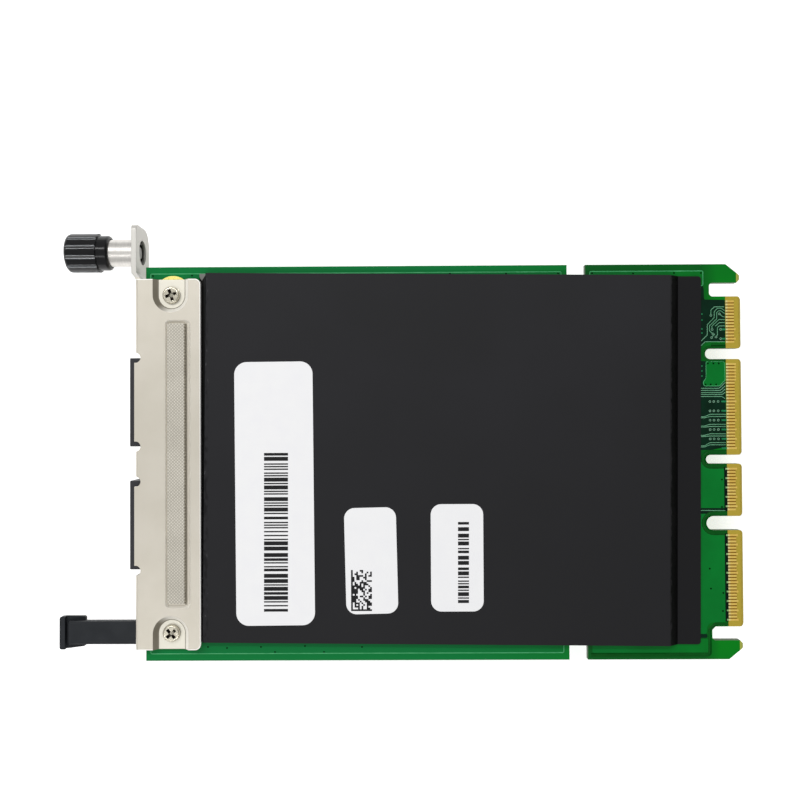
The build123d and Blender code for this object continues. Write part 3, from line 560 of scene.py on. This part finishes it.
def satin_film():
    """Black film: painted shade towards its low-Y edge, mottled first fold, painted black shade on the slope
    at the second, darker landing, painted shadow of the flange beside the foot, foot with a grey corner.
    """
    material = finish("satin_film", (43, 43, 46), (40, 40, 42), (0.42, 0.52), specular=0.12, patch=30.0,
                      grain=0.25, bump=0.02)
    tree, place, x, y, z = canvas(material)
    low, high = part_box("insulator_sheet")
    # Painted shade: darker towards the low-Y edge, where the light falls off
    lay(material, between(tree, y, low.y, high.y, 0.6, 0.0), (32, 32, 34))
    flecks = speckle(tree, place, size=0.7, stretch=(1.0, 0.5, 1.0))
    folded = between(tree, x, *map(along, first_fold))
    lay(material, product(tree, folded, between(tree, flecks, 0.66, 0.74)), (84, 84, 88))
    lay(material, product(tree, folded, between(tree, flecks, 0.5, 0.4), 0.7), (14, 14, 16))
    behind = over(tree, x, along(second_fold))
    landing = under(tree, z, board_high.z + landing_height * mm)
    lay(material, product(tree, landing, behind), (28, 28, 30))
    # Painted shade: the ragged slope at the second fold is painted black
    ragged = sums(tree, "ADD", z, between(tree, flecks, 0.35, 0.65, 0.0, slope_rag * mm))
    slope = between(tree, ragged, *[high.z - drop * mm for drop in slope_drops])
    lay(material, product(tree, slope, over(tree, z, board_high.z + slope_height * mm), behind), (1, 1, 1))
    foot_top = board_high.z + foot_height * mm
    before_fold = under(tree, x, along(max(first_fold)))
    on_foot = product(tree, under(tree, z, foot_top + foot_slack * mm), before_fold)
    lay(material, on_foot, (30, 30, 31))
    # Painted shadow of the flange, near black beside its edge
    lay(material, under(tree, x, along(flange_reach + flange_shadow_gap)), (2, 2, 2))
    tip = seen(*foot_tip_pixel, foot_top)
    beyond = product(tree, sums(tree, "SUBTRACT", y, tip.y), foot_spread)
    lay(material, product(tree, on_foot, under(tree, distance(tree, x, tip.x), beyond)), (130, 131, 127))
    return material


def gold_plate():
    """Gold plate with brush lines along the contacts, a brighter heel and paler pads at the front."""
    material = finish("gold_plate", (255, 222, 118), (248, 206, 98), (0.24, 0.36), metal=0.8, patch=1.2,
                      grain=0.1, bump=0.03, stretch=(0.2, 1.0, 1.0))
    tree, _, x, _, _ = canvas(material)
    lay(material, between(tree, x, *map(along, heel_range)), (255, 246, 172))
    lay(material, under(tree, x, along(front_pads_end)), (255, 240, 140))
    return material


def turned_steel(unlit=0.6):
    """Turned and plated ferrule, unlit and dark at its end inside the ear."""
    material = finish("turned_steel", (218, 215, 210), (208, 205, 200), (0.34, 0.42), metal=1.0, patch=1.0,
                      grain=0.08, stretch=(4.0, 0.5, 0.5), edge=0.08)
    tree, _, x, _, _ = canvas(material)
    lay(material, over(tree, x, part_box("thumbscrew_ferrule")[1].x - unlit * mm), (40, 38, 34))
    return material


def knob_black(highlight_width=0.17):
    """Glossy black moulding with a painted highlight along its sharp edges."""
    material = finish("knob_black", (6, 7, 9), (11, 12, 14), (0.14, 0.22), specular=0.3, patch=2.0,
                      grain=0.12, bump=0.02, edge=0.1)
    tree = material.node_tree
    softened = made(tree, "ShaderNodeBevel", {"Radius": highlight_width * mm}, samples=edge_samples)
    normal = wire(tree, "ShaderNodeNewGeometry").outputs["True Normal"]
    likeness = wire(tree, "ShaderNodeVectorMath", {0: softened, 1: normal}, operation="DOT_PRODUCT")
    sharp = between(tree, likeness.outputs["Value"], 0.985, 0.93)
    lengthwise = sums(tree, "ABSOLUTE", split(tree, softened)[0])
    # Painted highlight along the flutes' edges
    lay(material, product(tree, sharp, between(tree, lengthwise, 0.3, 0.1)), (224, 228, 232))
    return material


def clear_pipe():
    """Clear moulded light pipe."""
    material = finish("clear_pipe", (226, 232, 226), (214, 222, 216), (0.08, 0.16), grain=0.4, bump=0.02)
    shader_input(material, "Transmission Weight").default_value = 0.7
    shader_input(material, "IOR").default_value = 1.49
    return material


def coats_by_slot():
    """A finish for each material slot of the record."""
    coats = {slot: finish(*look, **settings) for slot, (*look, settings) in slot_finishes.items()}
    # Painted shade in the recesses of the screws
    hollowed(coats["screw_steel"], reach=0.8, dark=(34, 31, 24))
    coats["board_green"] = mask_green()
    coats["contact_gold"] = gold_plate()
    coats["bracket_steel"] = plated_sheet()
    coats["gasket_cloth"] = conductive_cloth()
    coats["ferrule_steel"] = turned_steel()
    coats["knob_black"] = knob_black()
    coats["film_black"] = satin_film()
    coats["pipe_clear"] = clear_pipe()
    return coats


def detail_coats():
    """A finish for each kind of fine detail."""
    coats = {name: finish(name, *look) for name, look in detail_finishes.items()}
    bluer_at_front(coats["strip_green"], (0, 122, 58))
    return coats


def dress():
    """Puts its slot's finish on each solid, and the thread's on the captive screw."""
    for part in frame["record"]["subparts"]:
        for held in frame["nodes"][part["node"]].material_slots:
            held.material = slot_coats[part["material_slot"]]
    for held in frame["nodes"]["thumbscrew_screw"].material_slots:
        held.material = coats["thread_steel"]


def placed(name, data):
    """New object in the scene."""
    thing = bpy.data.objects.new(name, data)
    bpy.context.scene.collection.objects.link(thing)
    return thing


def settle(piece, body="card"):
    """Gives a finished piece its body."""
    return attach(piece, body)


def geometry_tree(name, **inputs):
    """Geometry tree with named inputs; gives the tree and its inputs' sockets."""
    tree = bpy.data.node_groups.new(name, "GeometryNodeTree")
    for label, kind in {"Seed": "Geometry", **inputs, "Coat": "Material"}.items():
        tree.interface.new_socket(label, in_out="INPUT", socket_type=f"NodeSocket{kind}")
    tree.interface.new_socket("Geometry", in_out="OUTPUT", socket_type="NodeSocketGeometry")
    return tree, tree.nodes.new("NodeGroupInput").outputs


def copied(tree, inputs, shape, **more):
    """Copies of a shape on the seed's points."""
    return made(tree, "GeometryNodeInstanceOnPoints", {"Points": inputs["Seed"], "Instance": shape, **more})


def swept(tree, line, section):
    """Closed strip or rod with a section along a line."""
    parts = {"Curve": line, "Profile Curve": section, "Fill Caps": True}
    return made(tree, "GeometryNodeCurveToMesh", parts)


def close_tree(tree, inputs, geometry):
    """Ends a tree with real geometry that wears its coat."""
    real = made(tree, "GeometryNodeRealizeInstances", {"Geometry": geometry})
    coated = made(tree, "GeometryNodeSetMaterial", {"Geometry": real, "Material": inputs["Coat"]})
    wire(tree, "NodeGroupOutput", {"Geometry": coated})
    return tree


def ribbon_tree():
    """Flat ribbons along the seed's edges, with rounded bends."""
    tree, inputs = geometry_tree("ribbons", Width="Float", Height="Float", Bend="Float")
    line = made(tree, "GeometryNodeMeshToCurve", {"Mesh": inputs["Seed"]})
    bends = {"Radius": inputs["Bend"], "Count": bend_steps, "Limit Radius": True}
    line = made(tree, "GeometryNodeFilletCurve", {"Curve": line, **bends}, mode="POLY")
    line = made(tree, "GeometryNodeSetCurveNormal", {"Curve": line}, mode="Z_UP")
    sides = {"Width": inputs["Width"], "Height": inputs["Height"]}
    section = made(tree, "GeometryNodeCurvePrimitiveQuadrilateral", sides)
    return close_tree(tree, inputs, swept(tree, line, section))


def stud_tree():
    """Round studs on the seed's points."""
    tree, inputs = geometry_tree("studs", Radius="Float", Height="Float", Sides="Int")
    sizes = {"Vertices": inputs["Sides"], "Radius": inputs["Radius"], "Depth": inputs["Height"]}
    stud = made(tree, "GeometryNodeMeshCylinder", sizes)
    return close_tree(tree, inputs, copied(tree, inputs, stud))


def block_tree():
    """Blocks on the seed's points, each as large as its point's own size."""
    tree, inputs = geometry_tree("blocks")
    block = made(tree, "GeometryNodeMeshCube", {"Size": (1.0, 1.0, 1.0)})
    size = made(tree, "GeometryNodeInputNamedAttribute", {"Name": "size"}, data_type="FLOAT_VECTOR")
    return close_tree(tree, inputs, copied(tree, inputs, block, Scale=size))


def helix_tree():
    """Helix along X from the seed's points, of round or sharp section."""
    tree, inputs = geometry_tree("helices", Radius="Float", Length="Float", Turns="Float", Section="Float",
                                 Sides="Int")
    radii = {"Start Radius": inputs["Radius"], "End Radius": inputs["Radius"]}
    turns = {"Resolution": helix_steps, "Rotations": inputs["Turns"], "Height": inputs["Length"]}
    line = made(tree, "GeometryNodeCurveSpiral", {**turns, **radii})
    circle = {"Resolution": inputs["Sides"], "Radius": inputs["Section"]}
    section = made(tree, "GeometryNodeCurvePrimitiveCircle", circle)
    coil = made(tree, "GeometryNodeSetShadeSmooth", {"Geometry": swept(tree, line, section)})
    lying = made(tree, "GeometryNodeTransform", {"Geometry": coil, "Rotation": (0.0, math.radians(90), 0.0)})
    return close_tree(tree, inputs, copied(tree, inputs, lying))


def grow(name, tree, seed, slot, coat, body="card", **values):
    """Piece that a geometry tree makes from a seed mesh, kept as a plain mesh."""
    piece = placed(name, seed)
    modifier = piece.modifiers.new(name, "NODES")
    modifier.node_group = tree
    values["Coat"] = coat
    for socket in tree.interface.items_tree:
        if socket.in_out == "INPUT" and socket.name in values:
            modifier[socket.identifier] = values[socket.name]
    grown = bpy.data.meshes.new_from_object(piece.evaluated_get(bpy.context.evaluated_depsgraph_get()))
    piece.modifiers.remove(modifier)
    grown.name = name
    piece.data = grown
    return settle(piece, body)


def path_seed(paths):
    """Mesh of open or closed paths; a path whose ends meet is closed."""
    points = []
    edges = []
    for path in paths:
        closed = len(path) > 2 and (path[0] - path[-1]).length < 1e-9
        kept = path[:-1] if closed else path
        first = len(points)
        points += kept
        edges += [(first + place, first + place + 1) for place in range(len(kept) - 1)]
        if closed:
            edges.append((len(points) - 1, first))
    mesh = bpy.data.meshes.new("path_seed")
    mesh.from_pydata(points, edges, [])
    return mesh


def point_seed(points, sizes=()):
    """Mesh of loose points, each with its own size where sizes are given."""
    mesh = bpy.data.meshes.new("point_seed")
    mesh.from_pydata(points, [], [])
    if sizes:
        held = mesh.attributes.new("size", "FLOAT_VECTOR", "POINT")
        held.data.foreach_set("vector", [part for size in sizes for part in size])
    return mesh


def ribbons(name, paths, coat, width, bend=0.25):
    """Piece of flat ribbons of one width on the board."""
    return grow(name, trees["ribbons"], path_seed(paths), "board_green", coats[coat], Width=width * mm,
                Height=layer_height * mm, Bend=bend * mm)


def studs(name, points, coat, radius, sides=14):
    """Piece of round studs of one radius on the board."""
    return grow(name, trees["studs"], point_seed(points), "board_green", coats[coat], Radius=radius * mm,
                Height=layer_height * mm, Sides=sides)


def blocks(name, marks, slot, coat):
    """Piece of small blocks, from the place and the size of each."""
    points, sizes = zip(*marks)
    return grow(name, trees["blocks"], point_seed(points, sizes), slot, coats[coat])


def plates(name, outlines, thickness, coat):
    """Piece of thin flat plates that stand up from closed outlines on the board."""
    form = bmesh.new()
    for outline in outlines:
        low = [form.verts.new(point) for point in outline]
        high = [form.verts.new(point) for point in raised(outline, thickness)]
        form.faces.new(low)
        form.faces.new(high)
        for place in range(len(low)):
            follow = (place + 1) % len(low)
            form.faces.new((low[place], low[follow], high[follow], high[place]))
    bmesh.ops.recalc_face_normals(form, faces=form.faces)
    mesh = bpy.data.meshes.new(name)
    form.to_mesh(mesh)
    form.free()
    mesh.materials.append(coats[coat])
    return settle(placed(name, mesh))


def solids_of(node):
    """Lowest and highest corner of each separate solid in a node, from the thumbscrew's side."""
    form = bmesh.new()
    form.from_mesh(frame["nodes"][node].data)
    bmesh.ops.remove_doubles(form, verts=form.verts, dist=1e-7)
    boxes = []
    waiting = set(form.verts)
    while waiting:
        group = [waiting.pop()]
        for vert in group:
            for edge in vert.link_edges:
                other = edge.other_vert(vert)
                if other in waiting:
                    waiting.remove(other)
                    group.append(other)
        places = [vert.co for vert in group]
        boxes.append((Vector(map(min, zip(*places))), Vector(map(max, zip(*places)))))
    form.free()
    return sorted(boxes, key=lambda box: (-round(box[0].y, 6), box[0].x))


def contact_sections():
    """Contacts of each section of the tongue on the upper face, from the thumbscrew's side."""
    groups = [[]]
    for low, high in solids_of("edge_contacts_secondary"):
        if groups[-1] and groups[-1][-1][0].y - high.y > contact_gap * mm:
            groups.append([])
        groups[-1].append((low, high))
    return groups


def long_contacts(contacts):
    """Heel and middle of each contact that is a long one."""
    return [(low.x, (low.y + high.y) / 2) for low, high in contacts if high.x - low.x > long_contact * mm]


def slot_moat(slot, margin):
    """Path round the closed end of a slot in the tongue, outside it by a margin."""
    end_x, upper, lower = slot
    radius = (upper - lower) / 2 + margin
    middle = (upper + lower) / 2
    turn_x = end_x + (upper - lower) / 2
    turns = [math.pi / 2 + math.pi * step / moat_steps for step in range(moat_steps + 1)]
    arc = [(turn_x + radius * math.cos(turn), middle + radius * math.sin(turn)) for turn in turns]
    return card_path(rim_rise, (laminate_start, middle + radius), *arc, (laminate_start, middle - radius))


def upper_pours():
    """Copper areas under the mask on the upper face, and a painted highlight along the rims of those that
    stand alone.
    """
    strips = (
        card_path(0, (0.9, 33.5), (0.9, 36.7), (80.4, 36.7), (80.4, 33.5)),
        card_path(0, (85.9, 33.5), (85.9, 36.7), (107.75, 36.7), (107.75, 33.9), (106.0, 33.5)),
        card_path(0, (0.9, -33.0), (80.4, -33.0), (80.4, -36.65), (0.9, -36.65)),
        card_path(0, (85.9, -33.0), (105.0, -33.0), (106.0, -34.1), (108.1, -34.1), (108.1, -36.7),
                  (85.9, -36.7)),
    )
    island = seen_path(0, (706, 361.5), (724.3, 361.5), (725, 380.2), (719.6, 386), (704, 386),
                       (702.9, 382.1), (706, 378.3))
    third = seen_path(0, (699, 461.5), (702, 462), (705, 466.3), (709.5, 468.2), (724.4, 468.2),
                      (724.4, 508), (699, 508))
    fourth = seen_path(0, (699, 513.8), (708, 513.8), (704, 517.5), (702.6, 522.5), (704, 528.5),
                       (709.5, 533.8), (724.6, 534.2), (725.6, 622), (711, 622.5), (707.4, 626),
                       (706.6, 633.8), (699, 633.8))
    edge_strips = [rounded(outline, radius=0.3) for outline in strips]
    areas = [rounded(outline, radius=0.35) for outline in (island, third, fourth)]
    plates("edge_pours", edge_strips, pour_rise, "strip_green")
    plates("board_pours", areas, pour_rise, "pour_green")
    # Painted highlight along the rims of the pours
    rims = [raised(loop(outline), rim_rise) for outline in edge_strips[:3]]
    ribbons("pour_rims", rims, "rim_green", width=0.18, bend=0.05)
    ribbons("island_rim", [raised(loop(areas[0]), rim_rise)], "rim_green", width=0.11, bend=0.05)


def upper_voids():
    """Darker laminate on the upper face, round the first two sections and between the copper areas."""
    first = seen_path(0, (699, 285), (701.6, 285), (703.6, 288), (704, 299.6), (725, 299.8), (725.2, 342.2),
                      (705.6, 342.2), (701, 346.6), (699, 352))
    second = seen_path(0, (699, 361), (706.3, 361.2), (706.3, 378.3), (703.2, 382.1), (704.2, 386.3),
                       (719.6, 386.3), (725.6, 380.4), (726.4, 447), (711, 450), (699, 450))
    divide = seen_path(0, (699, 508), (725, 508), (725, 513.8), (699, 513.8))
    break_line = seen_path(0, (699, 634), (707.5, 634), (707.5, 637.8), (699, 637.8))
    outlines = [rounded(outline, radius=0.3) for outline in (first, second, divide, break_line)]
    plates("board_voids", outlines, void_rise, "void_green")


def upper_moats():
    """Margins without copper round the tongue's slots and at the latch notch."""
    above_slot = card_path(rim_rise, (laminate_start, 22.4), (109.2, 22.4))
    notch = card_path(rim_rise, (laminate_start, -31.3), (109.5, -31.3), (108.4, -32.4), (108.4, -37.1),
                      (85.6, -37.1))
    moats = (
        ("near_slot_margin", [slot_moat(near_slot, margin=0.28), above_slot], 0.56),
        ("slot_moats", [slot_moat(slot, margin=0.5) for slot in tongue_slots], 0.9),
        ("notch_moat", [notch], 0.65),
    )
    for name, paths, width in moats:
        ribbons(name, paths, "moat_green", width, bend=0.4)


def contact_grounds():
    """Dark gaps behind the contacts of the last sections, and the bed under each section's contacts,
    laminate darkened with painted shade.
    """
    margin = contact_margin * mm
    gaps = []
    beds = []
    for group in sections:
        left, right = group[0][0].x, min(high.x for _, high in group)
        upper, lower = group[0][1].y, group[-1][0].y
        gaps.append(rectangle(board_high.z, left - gap_width * mm, left, upper + margin, lower - margin))
        beds.append(rectangle(board_high.z, left, right, upper, lower))
    plates("contact_gaps", gaps[2:], via_rise, "gap_dark")
    # Painted shade on the laminate between the contacts
    plates("contact_beds", beds, void_rise, "contact_bed")


def upper_traces():
    """Tracks on the upper face, from the contacts back under the film."""
    routes = [
        ((724, 306.8), (714.2, 306.8), (710.9, 310.2), (710.9, 314.7)),
        ((724.6, 310.6), (721.2, 308.3), (717.3, 308.3), (714.2, 311.7), (714.2, 317.7), (707.3, 324.7),
         (707.3, 335), (701.2, 341)),
        ((724.6, 313.6), (720.9, 310.8), (718.5, 310.8), (716.7, 312.6), (716.7, 318.9), (709.4, 325.9),
         (709.4, 330.8), (712.7, 333.5)),
        ((724.6, 317), (722.6, 316.5), (719.7, 314.1)),
        ((724.8, 319.5), (718.8, 319.5), (711.8, 326.2), (712.1, 329.2)),
        ((724.8, 322.6), (719.4, 322.6), (715.2, 326.2)),
        ((724.8, 325.9), (719.1, 325.9), (717.3, 327.7), (717.5, 335), (716, 336.8)),
        ((714.8, 334), (711.8, 337.1)),
        ((724.8, 341.7), (705.2, 341.7), (700.6, 346.2)),
    ]
    film_edge = 699.5
    fan = ((388.3, 719.2, 382.5), (390.4, 720.2, 386), (392.5, 721.4, 389), (394.4, 722.4, 392.1),
           (396.5, 721.8, 398.6))
    routes += [((film_edge, down), (turn, down), (725.2, end)) for down, turn, end in fan]
    for left, right in ((417.3, 415.4), (426.5, 425.4), (436, 434.9), (446.4, 443.7)):
        for offset in (-pair_half, pair_half):
            start, end = left + offset / 2, right + offset
            routes.append(((film_edge, start), (704.5, start), (710, end), (725.8, end)))
    routes.append(((film_edge, 510.4), (725.2, 510.6)))
    # Pale tracks: copper under the mask, made paler by a painted highlight
    ribbons("board_traces", [seen_path(trace_rise, *route) for route in routes], "trace_green", width=0.13)


def upper_stubs():
    """Short wide tracks from each long contact to its vias or to the copper behind it."""
    first, second, *rest = sections
    stubbed = [*first, *second[island_contacts:]]
    bridged = [contact for group in rest for contact in group]
    height = board_high.z + trace_rise * mm
    for name, contacts, length, coat in (("contact_stubs", stubbed, stub_length, "stub_green"),
                                         ("contact_bridges", bridged, bridge_length, "bridge_green")):
        paths = [level(height, (heel_x - length * mm, y), (heel_x + stub_overlap * mm, y))
                 for heel_x, y in long_contacts(contacts)]
        ribbons(name, paths, coat, width=stub_width)


def upper_vias():
    """Vias on the upper face: dark drilled ones on the copper, pale rings in the dark laminate."""
    drilled = ((208, 647), (227, 648), (261, 647), (275, 652), (305, 646), (324, 652), (362, 647),
               (450, 273.5), (506, 273.5), (558, 273.2), (592, 273.2), (633, 273.5), (674, 273), (701, 273),
               (153, 276), (192, 275.5), (707.9, 363.4), (713.4, 363.4), (718.8, 363.4), (705.6, 384.4),
               (710.7, 384.4), (716.1, 384.4), (722, 479.5), (722, 507), (709.8, 568.6), (711, 588.6),
               (723.3, 593), (723, 611))
    faint = [(701.9, down) for down in (314, 320, 329, 333, 366, 371, 376)]
    ringed = ((710.9, 315.5), (719.4, 313.9), (712.1, 329.6), (713, 334), (716, 337), (711.6, 337.6))
    studs("drilled_vias", seen_path(via_rise, *drilled), "via_hole", radius=0.16)
    studs("faint_vias", seen_path(via_rise, *faint), "stub_green", radius=0.15)
    first, second = sections[:2]
    rings = seen_path(via_rise, *ringed)
    for contacts, steps in ((first, (stub_length,)), (second[island_contacts:-1], via_steps)):
        for heel_x, y in long_contacts(contacts):
            rings += level(board_high.z + via_rise * mm, *[(heel_x - step * mm, y) for step in steps])
    studs("ringed_vias", rings, "via_ring", radius=0.23)
    studs("ring_holes", raised(rings, ink_rise), "via_hole", radius=0.11)


def label_print():
    """Generic stripes and a generic block of modules on the labels."""
    dice = random.Random(7)
    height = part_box("label_large")[1].z + ink_rise / 2 * mm
    marks = []
    for left, right, top, bottom in bar_fields:
        down = top
        while down < bottom:
            thick = dice.choice(bar_widths) * bar_module
            corner = seen(left, down, height)
            opposite = seen(right, min(down + thick, bottom), height)
            size = (opposite.x - corner.x, corner.y - opposite.y, ink_rise * mm)
            marks.append(((corner + opposite) / 2, size))
            down += thick + dice.choice(bar_spaces) * bar_module
    left, right, top, bottom = code_field
    start = seen(left, top, height)
    end = seen(right, bottom, height)
    columns, rows = code_modules
    step_x = (end.x - start.x) / columns
    step_y = (start.y - end.y) / rows
    for column in range(columns):
        for row in range(rows):
            framed = column == 0 or row == rows - 1
            if framed or dice.random() < code_fill:
                centre = start + Vector(((column + 0.5) * step_x, -(row + 0.5) * step_y, 0))
                marks.append((centre, (step_x, step_y, ink_rise * mm)))
    blocks("label_print", marks, "label_white", "label_ink")


def capacitor_ends():
    """Tinned ends of every chip capacitor."""
    marks = []
    for node in ("ceramic_capacitors", "coupling_capacitors", "decoupling_capacitors"):
        for low, high in solids_of(node):
            size = high - low
            axis = 0 if size.x > size.y else 1
            cap = size + Vector((1, 1, 1)) * 2 * cap_proud * mm
            cap[axis] = size[axis] * cap_share
            for end, inward in ((low, 1), (high, -1)):
                centre = (low + high) / 2
                centre[axis] = end[axis] + inward * (cap[axis] / 2 - cap_proud * mm)
                marks.append((centre, cap))
    blocks("capacitor_ends", marks, "lid_steel", "reflowed_tin")


def lower_pads():
    """Tinned pads round the flat chips and under the coils and large capacitors."""
    marks = []
    face = board_low.z - pad_drop * mm
    for node, pitch in chip_pitches.items():
        for low, high in solids_of(node):
            for axis, other in ((0, 1), (1, 0)):
                count = int((high[axis] - low[axis]) / mm / pitch) - 1
                size = Vector((0, 0, 2 * pad_drop * mm))
                size[axis] = pitch * mm / 2
                size[other] = chip_pad_length * mm
                for place in range(count):
                    for edge in (low[other], high[other]):
                        point = Vector((0, 0, face))
                        point[axis] = (low[axis] + high[axis]) / 2 + (place - (count - 1) / 2) * pitch * mm
                        point[other] = edge
                        marks.append((point, size))
    for node, share in large_pad_shares.items():
        for low, high in solids_of(node):
            size = (large_pad_length * mm, (high.y - low.y) * share, 2 * pad_drop * mm)
            marks += [(Vector((end, (low.y + high.y) / 2, face)), size) for end in (low.x, high.x)]
    blocks("solder_pads", marks, "lid_steel", "reflowed_tin")


def lower_traces():
    """Tracks on the lower face: contacts to their capacitors, and from these and the jacks inwards."""
    tracks = []
    face = board_low.z - trace_rise * mm
    contacts = [(low.x, (low.y + high.y) / 2) for low, high in solids_of("edge_contacts_primary")]
    for low, high in solids_of("coupling_capacitors"):
        y = (low.y + high.y) / 2
        pad_x, pad_y = min(contacts, key=lambda pad: abs(pad[1] - y))
        turn_x = pad_x - contact_run * mm
        bend_x = turn_x - abs(pad_y - y)
        tracks.append(level(face, (high.x, y), (bend_x, y), (turn_x, pad_y), (pad_x, pad_y)))
        inner = board_middle_y + (y - board_middle_y) * controller_share
        start, turn, end = [low.x - run * mm for run in controller_runs]
        tracks.append(level(face, (low.x, y), (start, y), (turn, inner), (end, inner)))
    for jack in jacks:
        low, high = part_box(jack)
        middle = (low.y + high.y) / 2
        start, turn, end = [high.x + run * mm for run in jack_runs]
        for track in range(jack_tracks):
            step = track - (jack_tracks - 1) / 2
            outer = middle + step * jack_pitch * mm
            inner = board_middle_y + (middle - board_middle_y) * jack_share + step * inner_pitch * mm
            tracks.append(level(face, (high.x, outer), (start, outer), (turn, inner), (end, inner)))
    ribbons("lower_traces", tracks, "rim_green", width=0.22)


def lower_outlines():
    """White outlines printed round the large pieces of the lower face, with a dot at one corner."""
    outlines = []
    dots = []
    face = board_low.z - trace_rise * mm
    margin = outline_margin * mm
    for node in outlined:
        for low, high in solids_of(node):
            left, upper = low.x - margin, high.y + margin
            outlines.append(loop(rectangle(face, left, high.x + margin, low.y - margin, upper)))
            dots.append(Vector((left - dot_gap * mm, upper, face)))
    ribbons("printed_outlines", outlines, "silkscreen", width=0.16, bend=0.05)
    studs("printed_dots", dots, "silkscreen", radius=0.25)


def lower_vias():
    """Vias scattered over the lower face, clear of the pieces on it."""
    dice = random.Random(11)
    clear = Vector((via_clear, via_clear, 0)) * mm
    keep_out = []
    for node in ("heatsink", "bracket_nuts", "coupling_capacitors", *jacks, *outlined):
        keep_out += [(low - clear, high + clear) for low, high in solids_of(node)]
    range_x, range_y = via_field
    places = []
    while len(places) < via_count:
        spot = at(dice.uniform(*range_x), dice.uniform(*range_y), 0)
        spot.z = board_low.z - via_rise * mm
        if not any(low.x < spot.x < high.x and low.y < spot.y < high.y for low, high in keep_out):
            places.append(spot)
    studs("lower_vias", places, "via_ring", radius=0.26, sides=12)
    studs("lower_via_holes", raised(places, -ink_rise), "via_hole", radius=0.12, sides=10)


def thumbscrew_parts():
    """Thread on the captive screw, and the round wire of the spring behind it."""
    low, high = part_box("thumbscrew_screw")
    axis_y = (low.y + high.y) / 2
    axis_z = (low.z + high.z) / 2
    thread_start = Vector((high.x - thread_length * mm, axis_y, axis_z))
    cut_length = thread_length - thread_tip
    grow("thumbscrew_thread", trees["helices"], point_seed([thread_start]), "screw_steel",
         coats["thread_steel"], "thumbscrew", Radius=thread_radius * mm, Length=cut_length * mm,
         Turns=cut_length / thread_pitch, Section=thread_section * mm, Sides=4)
    low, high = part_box("thumbscrew_spring")
    section = spring_radius * mm
    start = Vector((low.x + section, axis_y, axis_z))
    spring = grow("spring_coil", trees["helices"], point_seed([start]), "spring_steel",
                  slot_coats["spring_steel"], Radius=(high.z - low.z) / 2 - section,
                  Length=high.x - low.x - 2 * section, Turns=spring_turns, Section=section, Sides=10)
    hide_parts("thumbscrew_spring")
    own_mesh(spring)


def place_camera():
    """Camera above the card."""
    camera = placed("camera", bpy.data.cameras.new("camera"))
    camera.data.lens = camera_lens
    camera.data.sensor_width = camera_sensor
    camera.data.clip_start = camera_near * mm
    camera.location = camera_place
    camera.rotation_euler = camera_turn
    bpy.context.scene.camera = camera


def light_world():
    """White world that is dimmer to the right."""
    world = bpy.data.worlds.new("white_room")
    world.use_nodes = True
    tree = world.node_tree
    background = tree.nodes["Background"]
    across = split(tree, wire(tree, "ShaderNodeTexCoord").outputs["Generated"])[0]
    dim = (room_dim, room_dim, room_dim, 1.0)
    tone = mixed(tree, between(tree, across, *room_fade), (1.0, 1.0, 1.0, 1.0), dim)
    tree.links.new(tone, background.inputs["Color"])
    background.inputs["Strength"].default_value = room_strength
    bpy.context.scene.world = world


def lay_floor():
    """Glowing white floor under the card."""
    mesh = bpy.data.meshes.new("floor")
    mesh.from_pydata(rectangle(0, -floor_half, floor_half, -floor_half, floor_half), [], [(0, 1, 2, 3)])
    coat = finish("floor", (252, 252, 252), (250, 250, 250), (0.7, 0.8), specular=0.1, patch=60.0)
    shader_input(coat, "Emission Color").default_value = (1.0, 1.0, 1.0, 1.0)
    shader_input(coat, "Emission Strength").default_value = floor_glow
    mesh.materials.append(coat)
    placed("floor", mesh)


def hang_strips():
    """Long strip lights at the far and the near side, turned to the card."""
    for name, (side, power) in strip_lights.items():
        light = placed(name, bpy.data.lights.new(name, "AREA"))
        light.data.shape = "RECTANGLE"
        light.data.size = strip_length
        light.data.size_y = strip_width
        light.data.energy = power
        light.location = (strip_left, side * strip_aside, strip_height)
        light.rotation_euler = (-side * math.atan2(strip_aside, strip_height), 0.0, 0.0)


trees = {"ribbons": ribbon_tree(), "studs": stud_tree(), "blocks": block_tree(), "helices": helix_tree()}
slot_coats = coats_by_slot()
coats = detail_coats()
sections = contact_sections()
dress()

upper_pours()
upper_voids()
upper_moats()
contact_grounds()
upper_traces()
upper_stubs()
upper_vias()
label_print()
capacitor_ends()
lower_pads()
lower_traces()
lower_outlines()
lower_vias()
thumbscrew_parts()

place_camera()
bpy.context.scene.view_settings.view_transform = "Standard"
light_world()
lay_floor()
hang_strips()
